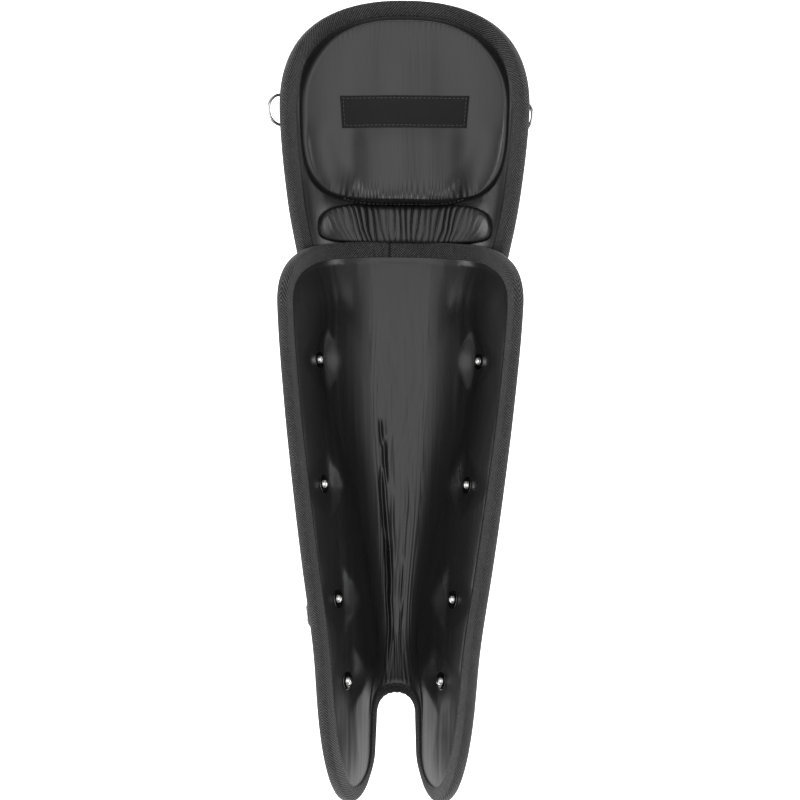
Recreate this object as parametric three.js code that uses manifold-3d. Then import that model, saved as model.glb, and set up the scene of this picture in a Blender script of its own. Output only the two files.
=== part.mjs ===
// Umpire leg guard, lying on its hard shells with the leg side up.
// Millimetres. +X runs across the leg, +Y up the leg towards the knee, +Z out of the trough.
import * as THREE from "three";
import { mergeVertices } from "three/addons/utils/BufferGeometryUtils.js";
import Module from "manifold-3d";

// Driving sizes
const GAP = 0.3; // clearance between pieces that touch
const FACET_GAP = 0.7; // clearance where their facets do not line up
const TAPE_FACE = 12.5; // binding tape on each face of a bound edge
const NOTCH_FACE = 7; // and where it is drawn tight round the ankle notch
const TAPE_THICK = 1.1;
const TAPE_SETBACK = 0.6; // the tape's hem stops this far short of the swelling pad
const EDGE_THICK = 5; // pad thickness squeezed under the tape
const PAD_SWELL = 8; // how much thicker the shin pad is away from its edge
const PAD_SWELL_REACH = 22; // distance over which it swells
const SHELL_THICK = 3;
const SEAT_THICK = 4.5; // shin pad left under a rivet

// Cross-sections from ankle to knee: a flat floor, a round corner and a straight wall.
// y along the leg, rim half-width, flat half-width, corner radius, wall slope in degrees, keel height
const SHIN_SECTIONS = [
  { y: -290, rim: 52.5, flat: 1, corner: 27, slope: 62, keel: 6.6 },
  { y: -203, rim: 54, flat: 1, corner: 27, slope: 62, keel: 6.6 },
  { y: -168, rim: 56.7, flat: 1, corner: 28, slope: 62, keel: 6.6 },
  { y: -112, rim: 64.6, flat: 4, corner: 33, slope: 62, keel: 6.6 },
  { y: -59, rim: 71.4, flat: 8, corner: 41, slope: 64.5, keel: 6.8 },
  { y: 0, rim: 78, flat: 13, corner: 50, slope: 68, keel: 8 },
  { y: 63, rim: 83, flat: 16, corner: 53, slope: 68, keel: 11.2 },
  { y: 115, rim: 83.5, flat: 17, corner: 54, slope: 67, keel: 11.8 },
];
const KNEE_SECTIONS = [
  { y: 70, rim: 65, flat: 17.5, corner: 65, slope: 67, keel: 3.3 },
  { y: 104, rim: 73, flat: 17.5, corner: 65, slope: 67, keel: 3.3 },
  { y: 140, rim: 80, flat: 17.5, corner: 71, slope: 67, keel: 3.3 },
  { y: 196, rim: 86, flat: 18, corner: 80, slope: 67, keel: 3.3 },
  { y: 240, rim: 86, flat: 19, corner: 86, slope: 67, keel: 8 },
  { y: 285, rim: 86, flat: 20, corner: 92, slope: 67, keel: 19 },
];

// Outlines at the hem line, one tape face in from the edge
const SHIN_TOP = { y: 66, rise: 32.5, power: 2.4 };
const NOTCH = { y: -222, half: 25.7, rise: 23.5 };
const WING = {
  tip: 48, // distance round the section from the keel to the lowest point
  innerHalf: 20.7,
  innerY: -245,
  innerDrop: 22.5,
  outerY: -190,
  outerDrop: 77.5,
  power: 1.9,
};
const KNEE_TOP = { y: 203, rise: 65.5, power: 2.3 };
const KNEE_FOOT = { y: 104, drop: 17.5, power: 3 };
const KNEE_SHIFT = 1.5; // the knee sits a little to one side of the shin

// Fractions of the half-section where the grids have their columns
const SHIN_COLUMNS = [
  0, 0.04, 0.08, 0.12, 0.2, 0.28, 0.32, 0.346, 0.4, 0.5, 0.62, 0.75, 0.88, 0.945, 0.985, 1,
];
const KNEE_COLUMNS = [0, 0.14, 0.28, 0.42, 0.56, 0.7, 0.82, 0.91, 0.97, 1];
// and shares of each column's length where they have their rows
const SHIN_RISES = [0, 0.03, 0.08, 0.15, 0.23, 0.31, 0.39, 0.47, 0.55, 0.63, 0.71, 0.79, 0.87, 0.94, 1];
const KNEE_RISES = [0, 0.08, 0.18, 0.3, 0.43, 0.56, 0.69, 0.81, 0.92, 1];

// Shells stop short of the bound edge, at these shares
const SHIN_SHELL = { side: 0.88, foot: 0.08, top: 0.87 };
const KNEE_SHELL = { side: 0.82, foot: 0.08, top: 0.92 };
const RIB = { share: 0.12, from: -178, to: -12 }; // flat centre rib that the shin rests on
// Pleats down the middle of the narrow half of the shin pad
const PLEATS = { pitch: 7.8, depth: 2.2, spread: 15, y: -125, reach: 85 };

// Rivets: y along the leg, distance round the section from the keel on each side
const RIVET_ROWS = [
  { y: 28, left: 71.1, right: 69.3 },
  { y: -59, left: 80.2, right: 71 },
  { y: -138.5, left: 69.6, right: 64.4 },
  { y: -195.5, left: 59.2, right: 53.2 },
];
const RIVET = {
  shank: 2.2,
  washer: 6.4,
  washerThick: 0.9,
  cap: 4.6,
  capRise: 2.2,
  head: 5.5,
  headRise: 1.8,
  sides: 8,
};
const HOLE_REACH = 12; // how far a rivet hole's cutter runs past each face
const DIMPLE = { seat: 7, mouth: 15, depth: 12, stretch: 1.5, under: 2 };

// Knee cushion, roll and patch, sewn on the leg side of the knee panel
const CUSHION = { y: 203, half: 83, rise: 64.5, drop: 64, upPower: 2.3, downPower: 3, seam: 3 };
const CUSHION_CROWN = { rise: 21, power: 2.6, rings: 6, sectors: 24 };
// The roll stops at an end share just under 1, where its outline still has some height.
const ROLL = { y: 124.5, half: 72, rise: 10.5, power: 4, seam: 2.5, end: 0.995, rows: 4 };
const ROLL_CROWN = { rise: 12.5, power: 3 };
const GATHER = { count: 12, depth: 1.6, spread: 0.62 };
const PATCH = { y: 203, half: 56, rise: 11.5, thick: 1.2 };
const PATCH_COLUMNS = [-1, -0.67, -0.33, 0, 0.33, 0.67, 1];

// Strap rings: side, y along the leg, bar above the hem line, bar's stand off the outer face,
// tab length, lean off the wall in degrees
const RINGS = [
  { name: "knee_left", table: KNEE_SECTIONS, side: -1, y: 203.5, bar: 2, stand: 4.6, tail: 15, lean: 8 },
  { name: "knee_right", table: KNEE_SECTIONS, side: 1, y: 201, bar: -3.5, stand: 3.5, tail: 11, lean: 0 },
  { name: "shin_left", table: SHIN_SECTIONS, side: -1, y: -147, bar: -4.5, stand: 3.6, tail: 5, lean: 0 },
];
const RING = { wire: 1.3, half: 10.6, straight: 5, bends: 11, sides: 7, sharpestMitre: 0.7 };
const TAB = { half: 8.6, thick: 1.2, throat: 0.6, bends: 5 };

const wasm = await Module();
wasm.setup();

const radians = THREE.MathUtils.degToRad;
// A quarter of a rounded outline: 1 at u = 0, falling to 0 at u = 1.
const quarter = (u, power) => Math.pow(Math.max(0, 1 - Math.pow(Math.abs(u), power)), 1 / power);

// A row of a section table at any y, eased between rows by a cubic whose slopes come from the neighbours.
function sectionRow(table, y) {
  const last = table.length - 2;
  let i = table.findIndex((row, k) => k <= last && y < table[k + 1].y);
  if (i < 0) i = last;
  const rows = [table[Math.max(i - 1, 0)], table[i], table[i + 1], table[Math.min(i + 2, last + 1)]];
  const span = rows[2].y - rows[1].y;
  const s = THREE.MathUtils.clamp((y - rows[1].y) / span, 0, 1);
  const ease = (key) => {
    const slope = (a, b) => (b.y === a.y ? 0 : ((b[key] - a[key]) / (b.y - a.y)) * span);
    const m1 = slope(rows[0], rows[2]);
    const m2 = slope(rows[1], rows[3]);
    const [a, b] = [rows[1][key], rows[2][key]];
    const across = 3 * s ** 2 - 2 * s ** 3;
    return (1 - across) * a + across * b + (s ** 3 - 2 * s ** 2 + s) * m1 + (s ** 3 - s ** 2) * m2;
  };
  return {
    rim: ease("rim"),
    flat: ease("flat"),
    corner: ease("corner"),
    slope: radians(ease("slope")),
    keel: ease("keel"),
  };
}

// Length round half a section from the keel to the rim.
function halfLength(table, y) {
  const { rim, flat, corner, slope } = sectionRow(table, y);
  const reach = rim - flat;
  if (reach < corner * Math.sin(slope)) return flat + corner * Math.asin(reach / corner);
  return flat + corner * slope + (reach - corner * Math.sin(slope)) / Math.cos(slope);
}

// The slope of the wall at a distance round the section.
function wallAngle(table, round, y) {
  const { flat, corner, slope } = sectionRow(table, y);
  return THREE.MathUtils.clamp((Math.abs(round) - flat) / corner, 0, slope);
}

// The point at a distance round the section from the keel, lifted off the outer face towards the leg.
function place(table, round, y, lift) {
  const { flat, corner, keel } = sectionRow(table, y);
  const side = Math.sign(round);
  const angle = wallAngle(table, round, y);
  const along = Math.abs(round);
  const past = Math.max(0, along - flat - corner * angle);
  const x = Math.min(along, flat) + corner * Math.sin(angle) + past * Math.cos(angle);
  const z = keel + corner * (1 - Math.cos(angle)) + past * Math.sin(angle);
  return new THREE.Vector3(side * (x - lift * Math.sin(angle)), y, z + lift * Math.cos(angle));
}

// A closed solid from corner points and four-sided faces, turned so that its faces point out.
function solidGeometry(points, quads) {
  const triangles = quads.flatMap(([a, b, c, d]) => [a, b, c, a, c, d]);
  let volume = 0;
  for (let i = 0; i < triangles.length; i += 3) {
    const [a, b, c] = [0, 1, 2].map((k) => points[triangles[i + k]]);
    volume += a.dot(new THREE.Vector3().crossVectors(b, c));
  }
  if (volume < 0) triangles.reverse();
  const geometry = new THREE.BufferGeometry().setFromPoints(points);
  geometry.setIndex(triangles);
  return geometry;
}

// Boolean cuts
function toManifold(geometry) {
  const bare = geometry.clone();
  bare.deleteAttribute("normal");
  bare.deleteAttribute("uv");
  const merged = mergeVertices(bare, 1e-4);
  return new wasm.Manifold(
    new wasm.Mesh({
      numProp: 3,
      vertProperties: new Float32Array(merged.attributes.position.array),
      triVerts: new Uint32Array(merged.index.array),
    }),
  );
}

function cutAway(geometry, cutters) {
  const left = cutters.reduce((solid, cutter) => solid.subtract(toManifold(cutter)), toManifold(geometry));
  const mesh = left.getMesh();
  const cut = new THREE.BufferGeometry();
  cut.setAttribute("position", new THREE.BufferAttribute(mesh.vertProperties, 3));
  cut.setIndex(new THREE.BufferAttribute(mesh.triVerts, 1));
  return cut;
}

// Sheets: a grid of columns across the section and rows up the leg inside the hem line
function shinFoot(share, hemHalf) {
  const round = Math.abs(share) * hemHalf;
  const innerFrom = WING.tip - WING.innerHalf;
  if (round <= NOTCH.half) return NOTCH.y + NOTCH.rise * quarter(round / NOTCH.half, 2);
  if (round <= innerFrom) {
    return THREE.MathUtils.mapLinear(round, NOTCH.half, innerFrom, NOTCH.y, WING.innerY);
  }
  if (round <= WING.tip) {
    return WING.innerY - WING.innerDrop * quarter((WING.tip - round) / WING.innerHalf, 2);
  }
  return WING.outerY - WING.outerDrop * quarter((round - WING.tip) / (hemHalf - WING.tip), WING.power);
}

const ankleHem = halfLength(SHIN_SECTIONS, NOTCH.y) - TAPE_FACE;
const NOTCH_TAPE = { from: NOTCH.half + 3, to: WING.tip + 4 }; // where the tight tape widens again
function shinTapeFace({ round, y }) {
  if (y > WING.outerY) return TAPE_FACE;
  const widened = THREE.MathUtils.smoothstep(Math.abs(round), NOTCH_TAPE.from, NOTCH_TAPE.to);
  return THREE.MathUtils.lerp(NOTCH_FACE, TAPE_FACE, widened);
}
const shinSheet = {
  table: SHIN_SECTIONS,
  face: shinTapeFace,
  top: (share) => SHIN_TOP.y + SHIN_TOP.rise * quarter(share, SHIN_TOP.power),
  foot: (share) => shinFoot(share, ankleHem),
};
const kneeSheet = {
  table: KNEE_SECTIONS,
  face: () => TAPE_FACE,
  top: (share) => KNEE_TOP.y + KNEE_TOP.rise * quarter(share, KNEE_TOP.power),
  foot: (share) => KNEE_FOOT.y - KNEE_FOOT.drop * quarter(share, KNEE_FOOT.power),
};

// The place on the unrolled sheet at a share of the half-section and a share of that column's length.
function onSheet(sheet, share, rise) {
  const y = THREE.MathUtils.lerp(sheet.foot(share), sheet.top(share), rise);
  return { round: share * (halfLength(sheet.table, y) - TAPE_FACE), y };
}

const bothSides = (half) => [...half.slice(1).map((q) => -q).reverse(), ...half];

function sheetGrid(sheet, halfColumns, rises) {
  const columns = bothSides(halfColumns);
  const spots = columns.map((share) => rises.map((rise) => onSheet(sheet, share, rise)));
  return { sheet, columns, rises, spots };
}

// A shell keeps the pad's own columns and rows, so their facets stay parallel.
function shellGrid(sheet, halfColumns, rises, { side, foot, top }) {
  const columns = halfColumns.filter((q) => q <= side);
  return sheetGrid(sheet, columns, rises.filter((v) => v >= foot && v <= top));
}

// The faces of a closed profile carried round a closed path, one ring of points at each step.
function sweepGeometry(rings) {
  const n = rings[0].length;
  const quads = rings.flatMap((ring, k) =>
    ring.map((_, i) => {
      const [a, b, j] = [k * n, ((k + 1) % rings.length) * n, (i + 1) % n];
      return [a + i, a + j, b + j, b + i];
    }),
  );
  return solidGeometry(rings.flat(), quads);
}

// The grid's border as one loop of [column, row] pairs: up the right, over the top, down the left
// and back along the foot.
function borderLoop({ columns, rises }) {
  const [c, r] = [columns.length - 1, rises.length - 1];
  const steps = (n, spot) => Array.from({ length: n }, (_, k) => spot(k));
  return [
    ...steps(r, (k) => [c, k]),
    ...steps(c, (k) => [c - k, r]),
    ...steps(r, (k) => [0, r - k]),
    ...steps(c, (k) => [k, 0]),
  ];
}

// The border spots with the direction that points off the sheet, on the unrolled surface.
function borderSpots(grid) {
  const spots = borderLoop(grid).map(([i, j]) => grid.spots[i][j]);
  const n = spots.length;
  return spots.map((spot, k) => {
    const [before, after] = [spots[(k + n - 1) % n], spots[(k + 1) % n]];
    const along = new THREE.Vector2(after.round - before.round, after.y - before.y).normalize();
    return { ...spot, out: new THREE.Vector2(along.y, -along.x), face: grid.sheet.face(spot) };
  });
}

const offHem = (table, { round, y, out }, reach, lift) =>
  place(table, round + out.x * reach, y + out.y * reach, lift);

// Faces of a slab between two matching grids, as two skins joined round the border.
function slabGeometry(grid, upper, lower) {
  const [c, r] = [grid.columns.length, grid.rises.length];
  const index = (i, j) => i * r + j;
  const points = [upper, lower].flatMap((face) =>
    grid.spots.flatMap((column, i) => column.map((s, j) => face(s, i, j))),
  );
  const quads = [];
  for (let i = 0; i + 1 < c; i++) {
    for (let j = 0; j + 1 < r; j++) {
      const [a, b, d, e] = [index(i, j), index(i + 1, j), index(i + 1, j + 1), index(i, j + 1)];
      quads.push([a, b, d, e], [a, e, d, b].map((k) => k + c * r));
    }
  }
  const loop = borderLoop(grid).map(([i, j]) => index(i, j));
  return { points, quads, loop, lowerFrom: c * r };
}

function plateGeometry(grid, upper, lower) {
  const { points, quads, loop, lowerFrom } = slabGeometry(grid, upper, lower);
  loop.forEach((a, k) => {
    const b = loop[(k + 1) % loop.length];
    quads.push([b, a, a + lowerFrom, b + lowerFrom]);
  });
  return solidGeometry(points, quads);
}

// A pad whose squeezed border runs one tape face past the hem line.
function padGeometry(grid, thickness) {
  const { table } = grid.sheet;
  const { points, quads, loop, lowerFrom } = slabGeometry(
    grid,
    (s, i, j) => place(table, s.round, s.y, thickness(s, i, j)),
    (s) => place(table, s.round, s.y, 0),
  );
  const edge = points.length;
  borderSpots(grid).forEach((spot) => {
    points.push(offHem(table, spot, spot.face, EDGE_THICK), offHem(table, spot, spot.face, 0));
  });
  loop.forEach((a, k) => {
    const next = (k + 1) % loop.length;
    const b = loop[next];
    const [ea, eb] = [edge + 2 * k, edge + 2 * next];
    quads.push([b, a, ea, eb], [eb, ea, ea + 1, eb + 1], [eb + 1, ea + 1, a + lowerFrom, b + lowerFrom]);
  });
  return solidGeometry(points, quads);
}

// Binding tape folded over a pad's edge, as a U-shaped profile carried round the border.
function bindingGeometry(grid) {
  const inside = EDGE_THICK + GAP;
  const outside = inside + TAPE_THICK;
  const profile = (face) => [
    [TAPE_SETBACK, outside],
    [face + GAP, outside],
    [face + GAP + TAPE_THICK, EDGE_THICK / 2],
    [face + GAP, -GAP - TAPE_THICK],
    [TAPE_SETBACK, -GAP - TAPE_THICK],
    [TAPE_SETBACK, -GAP],
    [face + GAP, -GAP],
    [face + GAP, inside],
    [TAPE_SETBACK, inside],
  ];
  return sweepGeometry(
    borderSpots(grid).map((spot) =>
      profile(spot.face).map(([reach, lift]) => offHem(grid.sheet.table, spot, reach, lift)),
    ),
  );
}

const cushionCrown = (ring) => CUSHION_CROWN.rise * Math.sqrt(1 - ring ** CUSHION_CROWN.power);

// A cushion on the knee panel: rings of spots from a centre spot out to a seam, crowned on the leg side.
function cushionGeometry() {
  const { y, half, rise, drop, upPower, downPower, seam } = CUSHION;
  const { rings, sectors } = CUSHION_CROWN;
  const floor = EDGE_THICK + FACET_GAP;
  const spotAt = (ring, sector) => {
    const turn = (2 * Math.PI * sector) / sectors;
    const [c, s] = [Math.cos(turn), Math.sin(turn)];
    const power = s < 0 ? downPower : upPower;
    const radius = 1 / Math.pow(Math.abs(c) ** power + Math.abs(s) ** power, 1 / power);
    return { round: ring * radius * c * half, y: y + ring * radius * s * (s < 0 ? drop : rise) };
  };
  const skin = (lift) => [
    place(KNEE_SECTIONS, 0, y, lift(0)),
    ...Array.from({ length: rings * sectors }, (_, k) => {
      const ring = (Math.floor(k / sectors) + 1) / rings;
      const spot = spotAt(ring, k % sectors);
      return place(KNEE_SECTIONS, spot.round, spot.y, lift(ring));
    }),
  ];
  const points = [...skin((ring) => floor + seam + cushionCrown(ring)), ...skin(() => floor)];
  const lower = points.length / 2;
  const quads = [];
  for (let s = 0; s < sectors; s++) {
    const t = (s + 1) % sectors;
    const at = (ring, sector) => 1 + (ring - 1) * sectors + sector;
    for (const [base, turned] of [[0, false], [lower, true]]) {
      const faces = [[base, base + at(1, s), base + at(1, t), base]];
      for (let k = 1; k < rings; k++) {
        faces.push([base + at(k, s), base + at(k + 1, s), base + at(k + 1, t), base + at(k, t)]);
      }
      quads.push(...(turned ? faces.map((face) => face.reverse()) : faces));
    }
    quads.push([at(rings, t), at(rings, s), lower + at(rings, s), lower + at(rings, t)]);
  }
  return solidGeometry(points, quads);
}

// The roll is gathered: its crown is pinched along evenly spaced folds, most in the middle.
function rollCrown(ring, { round }) {
  const across = round / ROLL.half;
  const fold = 0.5 + 0.5 * Math.cos(Math.PI * GATHER.count * across);
  const middle = Math.exp(-((across / GATHER.spread) ** 4));
  const dome = Math.sqrt(Math.max(0, 1 - ring ** ROLL_CROWN.power));
  return dome * (ROLL_CROWN.rise - GATHER.depth * fold * middle);
}

// The roll is a grid so that its folds run straight across it.
function rollGeometry() {
  const { rows } = ROLL;
  const columns = Array.from({ length: 4 * GATHER.count + 1 }, (_, i) => i / (2 * GATHER.count) - 1);
  const spots = columns.map((share) =>
    Array.from({ length: rows + 1 }, (_, j) => {
      const up = (2 * j) / rows - 1;
      const across = ROLL.end * share;
      return { round: across * ROLL.half, y: ROLL.y + up * ROLL.rise * quarter(across, ROLL.power) };
    }),
  );
  const grid = { columns, rises: Array.from({ length: rows + 1 }, (_, j) => j / rows), spots };
  const floor = EDGE_THICK + FACET_GAP;
  const crown = (s, i, j) => rollCrown(Math.max(Math.abs(columns[i]), Math.abs((2 * j) / rows - 1)), s);
  return plateGeometry(
    grid,
    (s, i, j) => place(KNEE_SECTIONS, s.round, s.y, floor + ROLL.seam + crown(s, i, j)),
    (s) => place(KNEE_SECTIONS, s.round, s.y, floor),
  );
}

// A flat patch bent over the crown of the knee cushion.
function patchGeometry() {
  const rises = [0, 1];
  const spots = PATCH_COLUMNS.map((share) =>
    rises.map((rise) => ({ round: share * PATCH.half, y: PATCH.y + (2 * rise - 1) * PATCH.rise })),
  );
  const under = ({ round, y }) => {
    const ring = Math.hypot(round / CUSHION.half, (y - CUSHION.y) / CUSHION.rise);
    return EDGE_THICK + FACET_GAP + CUSHION.seam + cushionCrown(ring) + FACET_GAP;
  };
  return plateGeometry(
    { columns: PATCH_COLUMNS, rises, spots },
    (s) => place(KNEE_SECTIONS, s.round, s.y, under(s) + PATCH.thick),
    (s) => place(KNEE_SECTIONS, s.round, s.y, under(s)),
  );
}

// The wall's unit normal towards the leg, from its directions round the section and along the leg.
const FEEL = { across: 1, along: 4 }; // how far to each side those directions are taken
function inwardNormal(table, round, y) {
  const across = place(table, round + FEEL.across, y, 0).sub(place(table, round - FEEL.across, y, 0));
  const along = place(table, round, y + FEEL.along, 0).sub(place(table, round, y - FEEL.along, 0));
  return across.cross(along).normalize();
}

// Puts a piece that was made about +Y on the wall, its +Y along the wall's inward normal.
function seatOnWall(object, table, round, y) {
  object.position.copy(place(table, round, y, 0));
  object.quaternion.setFromUnitVectors(new THREE.Vector3(0, 1, 0), inwardNormal(table, round, y));
  return object;
}

// A turned piece from (radius, height) pairs that start and end on the axis.
function turned(pairs, sides) {
  const profile = pairs.map(([radius, height]) => new THREE.Vector2(radius, height));
  return new THREE.LatheGeometry(profile, sides);
}

const shellFace = -GAP - SHELL_THICK;

function shinRivetGeometry() {
  const washer = SEAT_THICK + GAP;
  const top = washer + RIVET.washerThick;
  const head = shellFace - GAP;
  return turned(
    [
      [0, head - RIVET.headRise],
      [RIVET.head, head],
      [RIVET.shank, head],
      [RIVET.shank, washer],
      [RIVET.washer, washer],
      [RIVET.washer, top],
      [RIVET.cap, top],
      [0, top + RIVET.capRise],
    ],
    RIVET.sides,
  );
}

// The pit that a rivet pulls in the shin pad, with the hole for its shank.
function dimpleCutter(round, y) {
  const hole = RIVET.shank + GAP;
  const mesh = new THREE.Mesh(
    turned(
      [
        [0, -DIMPLE.under],
        [hole, -DIMPLE.under],
        [hole, SEAT_THICK],
        [DIMPLE.seat, SEAT_THICK],
        [DIMPLE.mouth, SEAT_THICK + DIMPLE.depth],
        [0, SEAT_THICK + DIMPLE.depth],
      ],
      RIVET.sides,
    ),
  );
  seatOnWall(mesh, SHIN_SECTIONS, round, y);
  const along = new THREE.Matrix4().makeScale(1, DIMPLE.stretch, 1);
  const there = new THREE.Matrix4().makeTranslation(0, y, 0);
  mesh.updateMatrix();
  const stretched = there.clone().multiply(along).multiply(there.clone().invert()).multiply(mesh.matrix);
  return mesh.geometry.applyMatrix4(stretched);
}

function holeCutter(table, round, y) {
  const hole = RIVET.shank + GAP;
  const pairs = [
    [0, -HOLE_REACH],
    [hole, -HOLE_REACH],
    [hole, HOLE_REACH],
    [0, HOLE_REACH],
  ];
  const mesh = new THREE.Mesh(turned(pairs, RIVET.sides));
  seatOnWall(mesh, table, round, y).updateMatrix();
  return mesh.geometry.applyMatrix4(mesh.matrix);
}

// Strap rings: a wire D whose straight bar runs through a folded webbing tab
const STRAIGHT = 1e-6; // a corner whose two directions cancel to less than this has no bend
function ringGeometry() {
  const { half, straight, wire, bends, sides, sharpestMitre } = RING;
  const path = [new THREE.Vector2(0, -half), new THREE.Vector2(0, half)];
  for (let k = 0; k <= bends; k++) {
    const turn = (Math.PI * k) / bends;
    path.push(new THREE.Vector2(straight + half * Math.sin(turn), half * Math.cos(turn)));
  }
  const centre = new THREE.Vector2(straight, 0);
  return sweepGeometry(
    path.map((spot, k) => {
      const before = path[(k + path.length - 1) % path.length].clone().sub(spot).normalize();
      const after = path[(k + 1) % path.length].clone().sub(spot).normalize();
      const bent = before.add(after).lengthSq() > STRAIGHT;
      const inward = bent ? before.normalize() : centre.clone().sub(spot).normalize();
      const leaning = Math.abs(new THREE.Vector2(-after.y, after.x).dot(inward));
      const mitre = wire / Math.max(sharpestMitre, leaning);
      return Array.from({ length: sides }, (_, i) => {
        const turn = (2 * Math.PI * i) / sides;
        const flat = spot.clone().addScaledVector(inward, mitre * Math.cos(turn));
        return new THREE.Vector3(flat.x, flat.y, wire * Math.sin(turn));
      });
    }),
  );
}

function tabGeometry(tail, stand) {
  const bore = RING.wire + GAP;
  const loop = bore + TAB.thick;
  const shape = new THREE.Shape();
  shape.absarc(0, 0, loop, -Math.PI / 2, Math.PI / 2);
  shape.lineTo(-tail, stand - FACET_GAP);
  shape.lineTo(-tail, stand - FACET_GAP - 2 * TAB.thick);
  shape.lineTo(-loop, -loop * TAB.throat);
  shape.holes.push(new THREE.Path().absarc(0, 0, bore, 0, 2 * Math.PI));
  const across = { depth: 2 * TAB.half, bevelEnabled: false, curveSegments: TAB.bends };
  return new THREE.ExtrudeGeometry(shape, across).translate(0, 0, -TAB.half).rotateX(Math.PI / 2);
}

// Materials
const paint = (color, roughness, metalness = 0) =>
  new THREE.MeshStandardMaterial({ color, roughness, metalness });
const vinyl = paint(0x2a292b, 0.45);
const webbing = paint(0x343335, 0.85);
const plastic = paint(0x1d1d1f, 0.4);
const nickel = paint(0xc9c9c6, 0.2, 1);
const weave = paint(0x1b1b1c, 0.8);

const guard = new THREE.Group();
const knee = new THREE.Group();
knee.position.x = KNEE_SHIFT;
guard.add(knee);
function add(name, geometry, material, parent = guard) {
  const mesh = new THREE.Mesh(geometry, material);
  mesh.name = name;
  parent.add(mesh);
  return mesh;
}

const SIDES = [
  { name: "left", sign: -1 },
  { name: "right", sign: 1 },
];

// Shin: padded trough, tape, shell and rivets
const shinGrid = sheetGrid(shinSheet, SHIN_COLUMNS, SHIN_RISES);
const shinBorder = borderSpots(shinGrid);
function shinThickness({ round, y }) {
  const inset = Math.min(...shinBorder.map((spot) => Math.hypot(spot.round - round, spot.y - y)));
  const swell = PAD_SWELL * quarter(1 - Math.min(1, inset / PAD_SWELL_REACH), 2);
  const wave = 0.5 + 0.5 * Math.cos((2 * Math.PI * round) / PLEATS.pitch);
  const fade = Math.exp(-((round / PLEATS.spread) ** 2) - ((y - PLEATS.y) / PLEATS.reach) ** 4);
  return EDGE_THICK + swell - PLEATS.depth * wave * fade * (swell / PAD_SWELL);
}
const shinRivets = SIDES.flatMap(({ name, sign }) =>
  RIVET_ROWS.map((row, k) => ({ name: `shin_rivet_${name}_${k + 1}`, round: sign * row[name], y: row.y })),
);
const dimples = shinRivets.map(({ round, y }) => dimpleCutter(round, y));
add("shin_pad", cutAway(padGeometry(shinGrid, shinThickness), dimples), vinyl);
add("shin_binding", bindingGeometry(shinGrid), webbing);

function shinShellOuter(spot, share) {
  const point = place(SHIN_SECTIONS, spot.round, spot.y, shellFace);
  if (Math.abs(share) <= RIB.share && spot.y > RIB.from && spot.y < RIB.to) point.z = 0;
  return point;
}
const shinShellGrid = shellGrid(shinSheet, SHIN_COLUMNS, SHIN_RISES, SHIN_SHELL);
const shinShell = plateGeometry(
  shinShellGrid,
  (s) => place(SHIN_SECTIONS, s.round, s.y, -GAP),
  (s, i) => shinShellOuter(s, shinShellGrid.columns[i]),
);
const shinHoles = shinRivets.map(({ round, y }) => holeCutter(SHIN_SECTIONS, round, y));
add("shin_shell", cutAway(shinShell, shinHoles), plastic);
shinRivets.forEach(({ name, round, y }) => {
  seatOnWall(add(name, shinRivetGeometry(), nickel), SHIN_SECTIONS, round, y);
});

// Knee: panel, tape, shell, cushion, roll and patch
const kneeGrid = sheetGrid(kneeSheet, KNEE_COLUMNS, KNEE_RISES);
add("knee_panel", padGeometry(kneeGrid, () => EDGE_THICK), vinyl, knee);
add("knee_binding", bindingGeometry(kneeGrid), webbing, knee);
const kneeShell = plateGeometry(
  shellGrid(kneeSheet, KNEE_COLUMNS, KNEE_RISES, KNEE_SHELL),
  (s) => place(KNEE_SECTIONS, s.round, s.y, -GAP),
  (s) => place(KNEE_SECTIONS, s.round, s.y, shellFace),
);
add("knee_shell", kneeShell, plastic, knee);
add("knee_cushion", cushionGeometry(), vinyl, knee);
add("knee_roll", rollGeometry(), vinyl, knee);
add("knee_patch", patchGeometry(), weave, knee);

// Strap rings on the outer walls, in a frame whose x runs up the wall, y along the leg and z into the wall
RINGS.forEach(({ name, table, side, y, bar, stand, tail, lean }) => {
  const round = side * (halfLength(table, y) - TAPE_FACE + bar);
  const foot = place(table, round, y, 0);
  const up = place(table, round + side, y, 0).sub(foot).normalize();
  const inward = inwardNormal(table, round, y);
  const frame = new THREE.Group();
  frame.position.copy(foot).addScaledVector(inward, -stand);
  frame.quaternion.setFromRotationMatrix(
    new THREE.Matrix4().makeBasis(up, new THREE.Vector3().crossVectors(inward, up), inward),
  );
  (table === KNEE_SECTIONS ? knee : guard).add(frame);
  add(`ring_${name}`, ringGeometry(), nickel, frame).rotation.y = radians(lean);
  add(`tab_${name}`, tabGeometry(tail, stand), webbing, frame);
});

// Set the part down with the middle of its box over the origin.
const box = new THREE.Box3().setFromObject(guard);
const middle = box.getCenter(new THREE.Vector3());
guard.children.forEach((child) => child.position.sub(new THREE.Vector3(middle.x, middle.y, box.min.z)));

export default guard;
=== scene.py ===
"""Looks of an umpire leg guard that lies on its hard shells with the leg side up.

Shapes are worked out in millimetres as whole numpy arrays and put into the frame's metres by make_piece.
"""
import math

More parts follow.
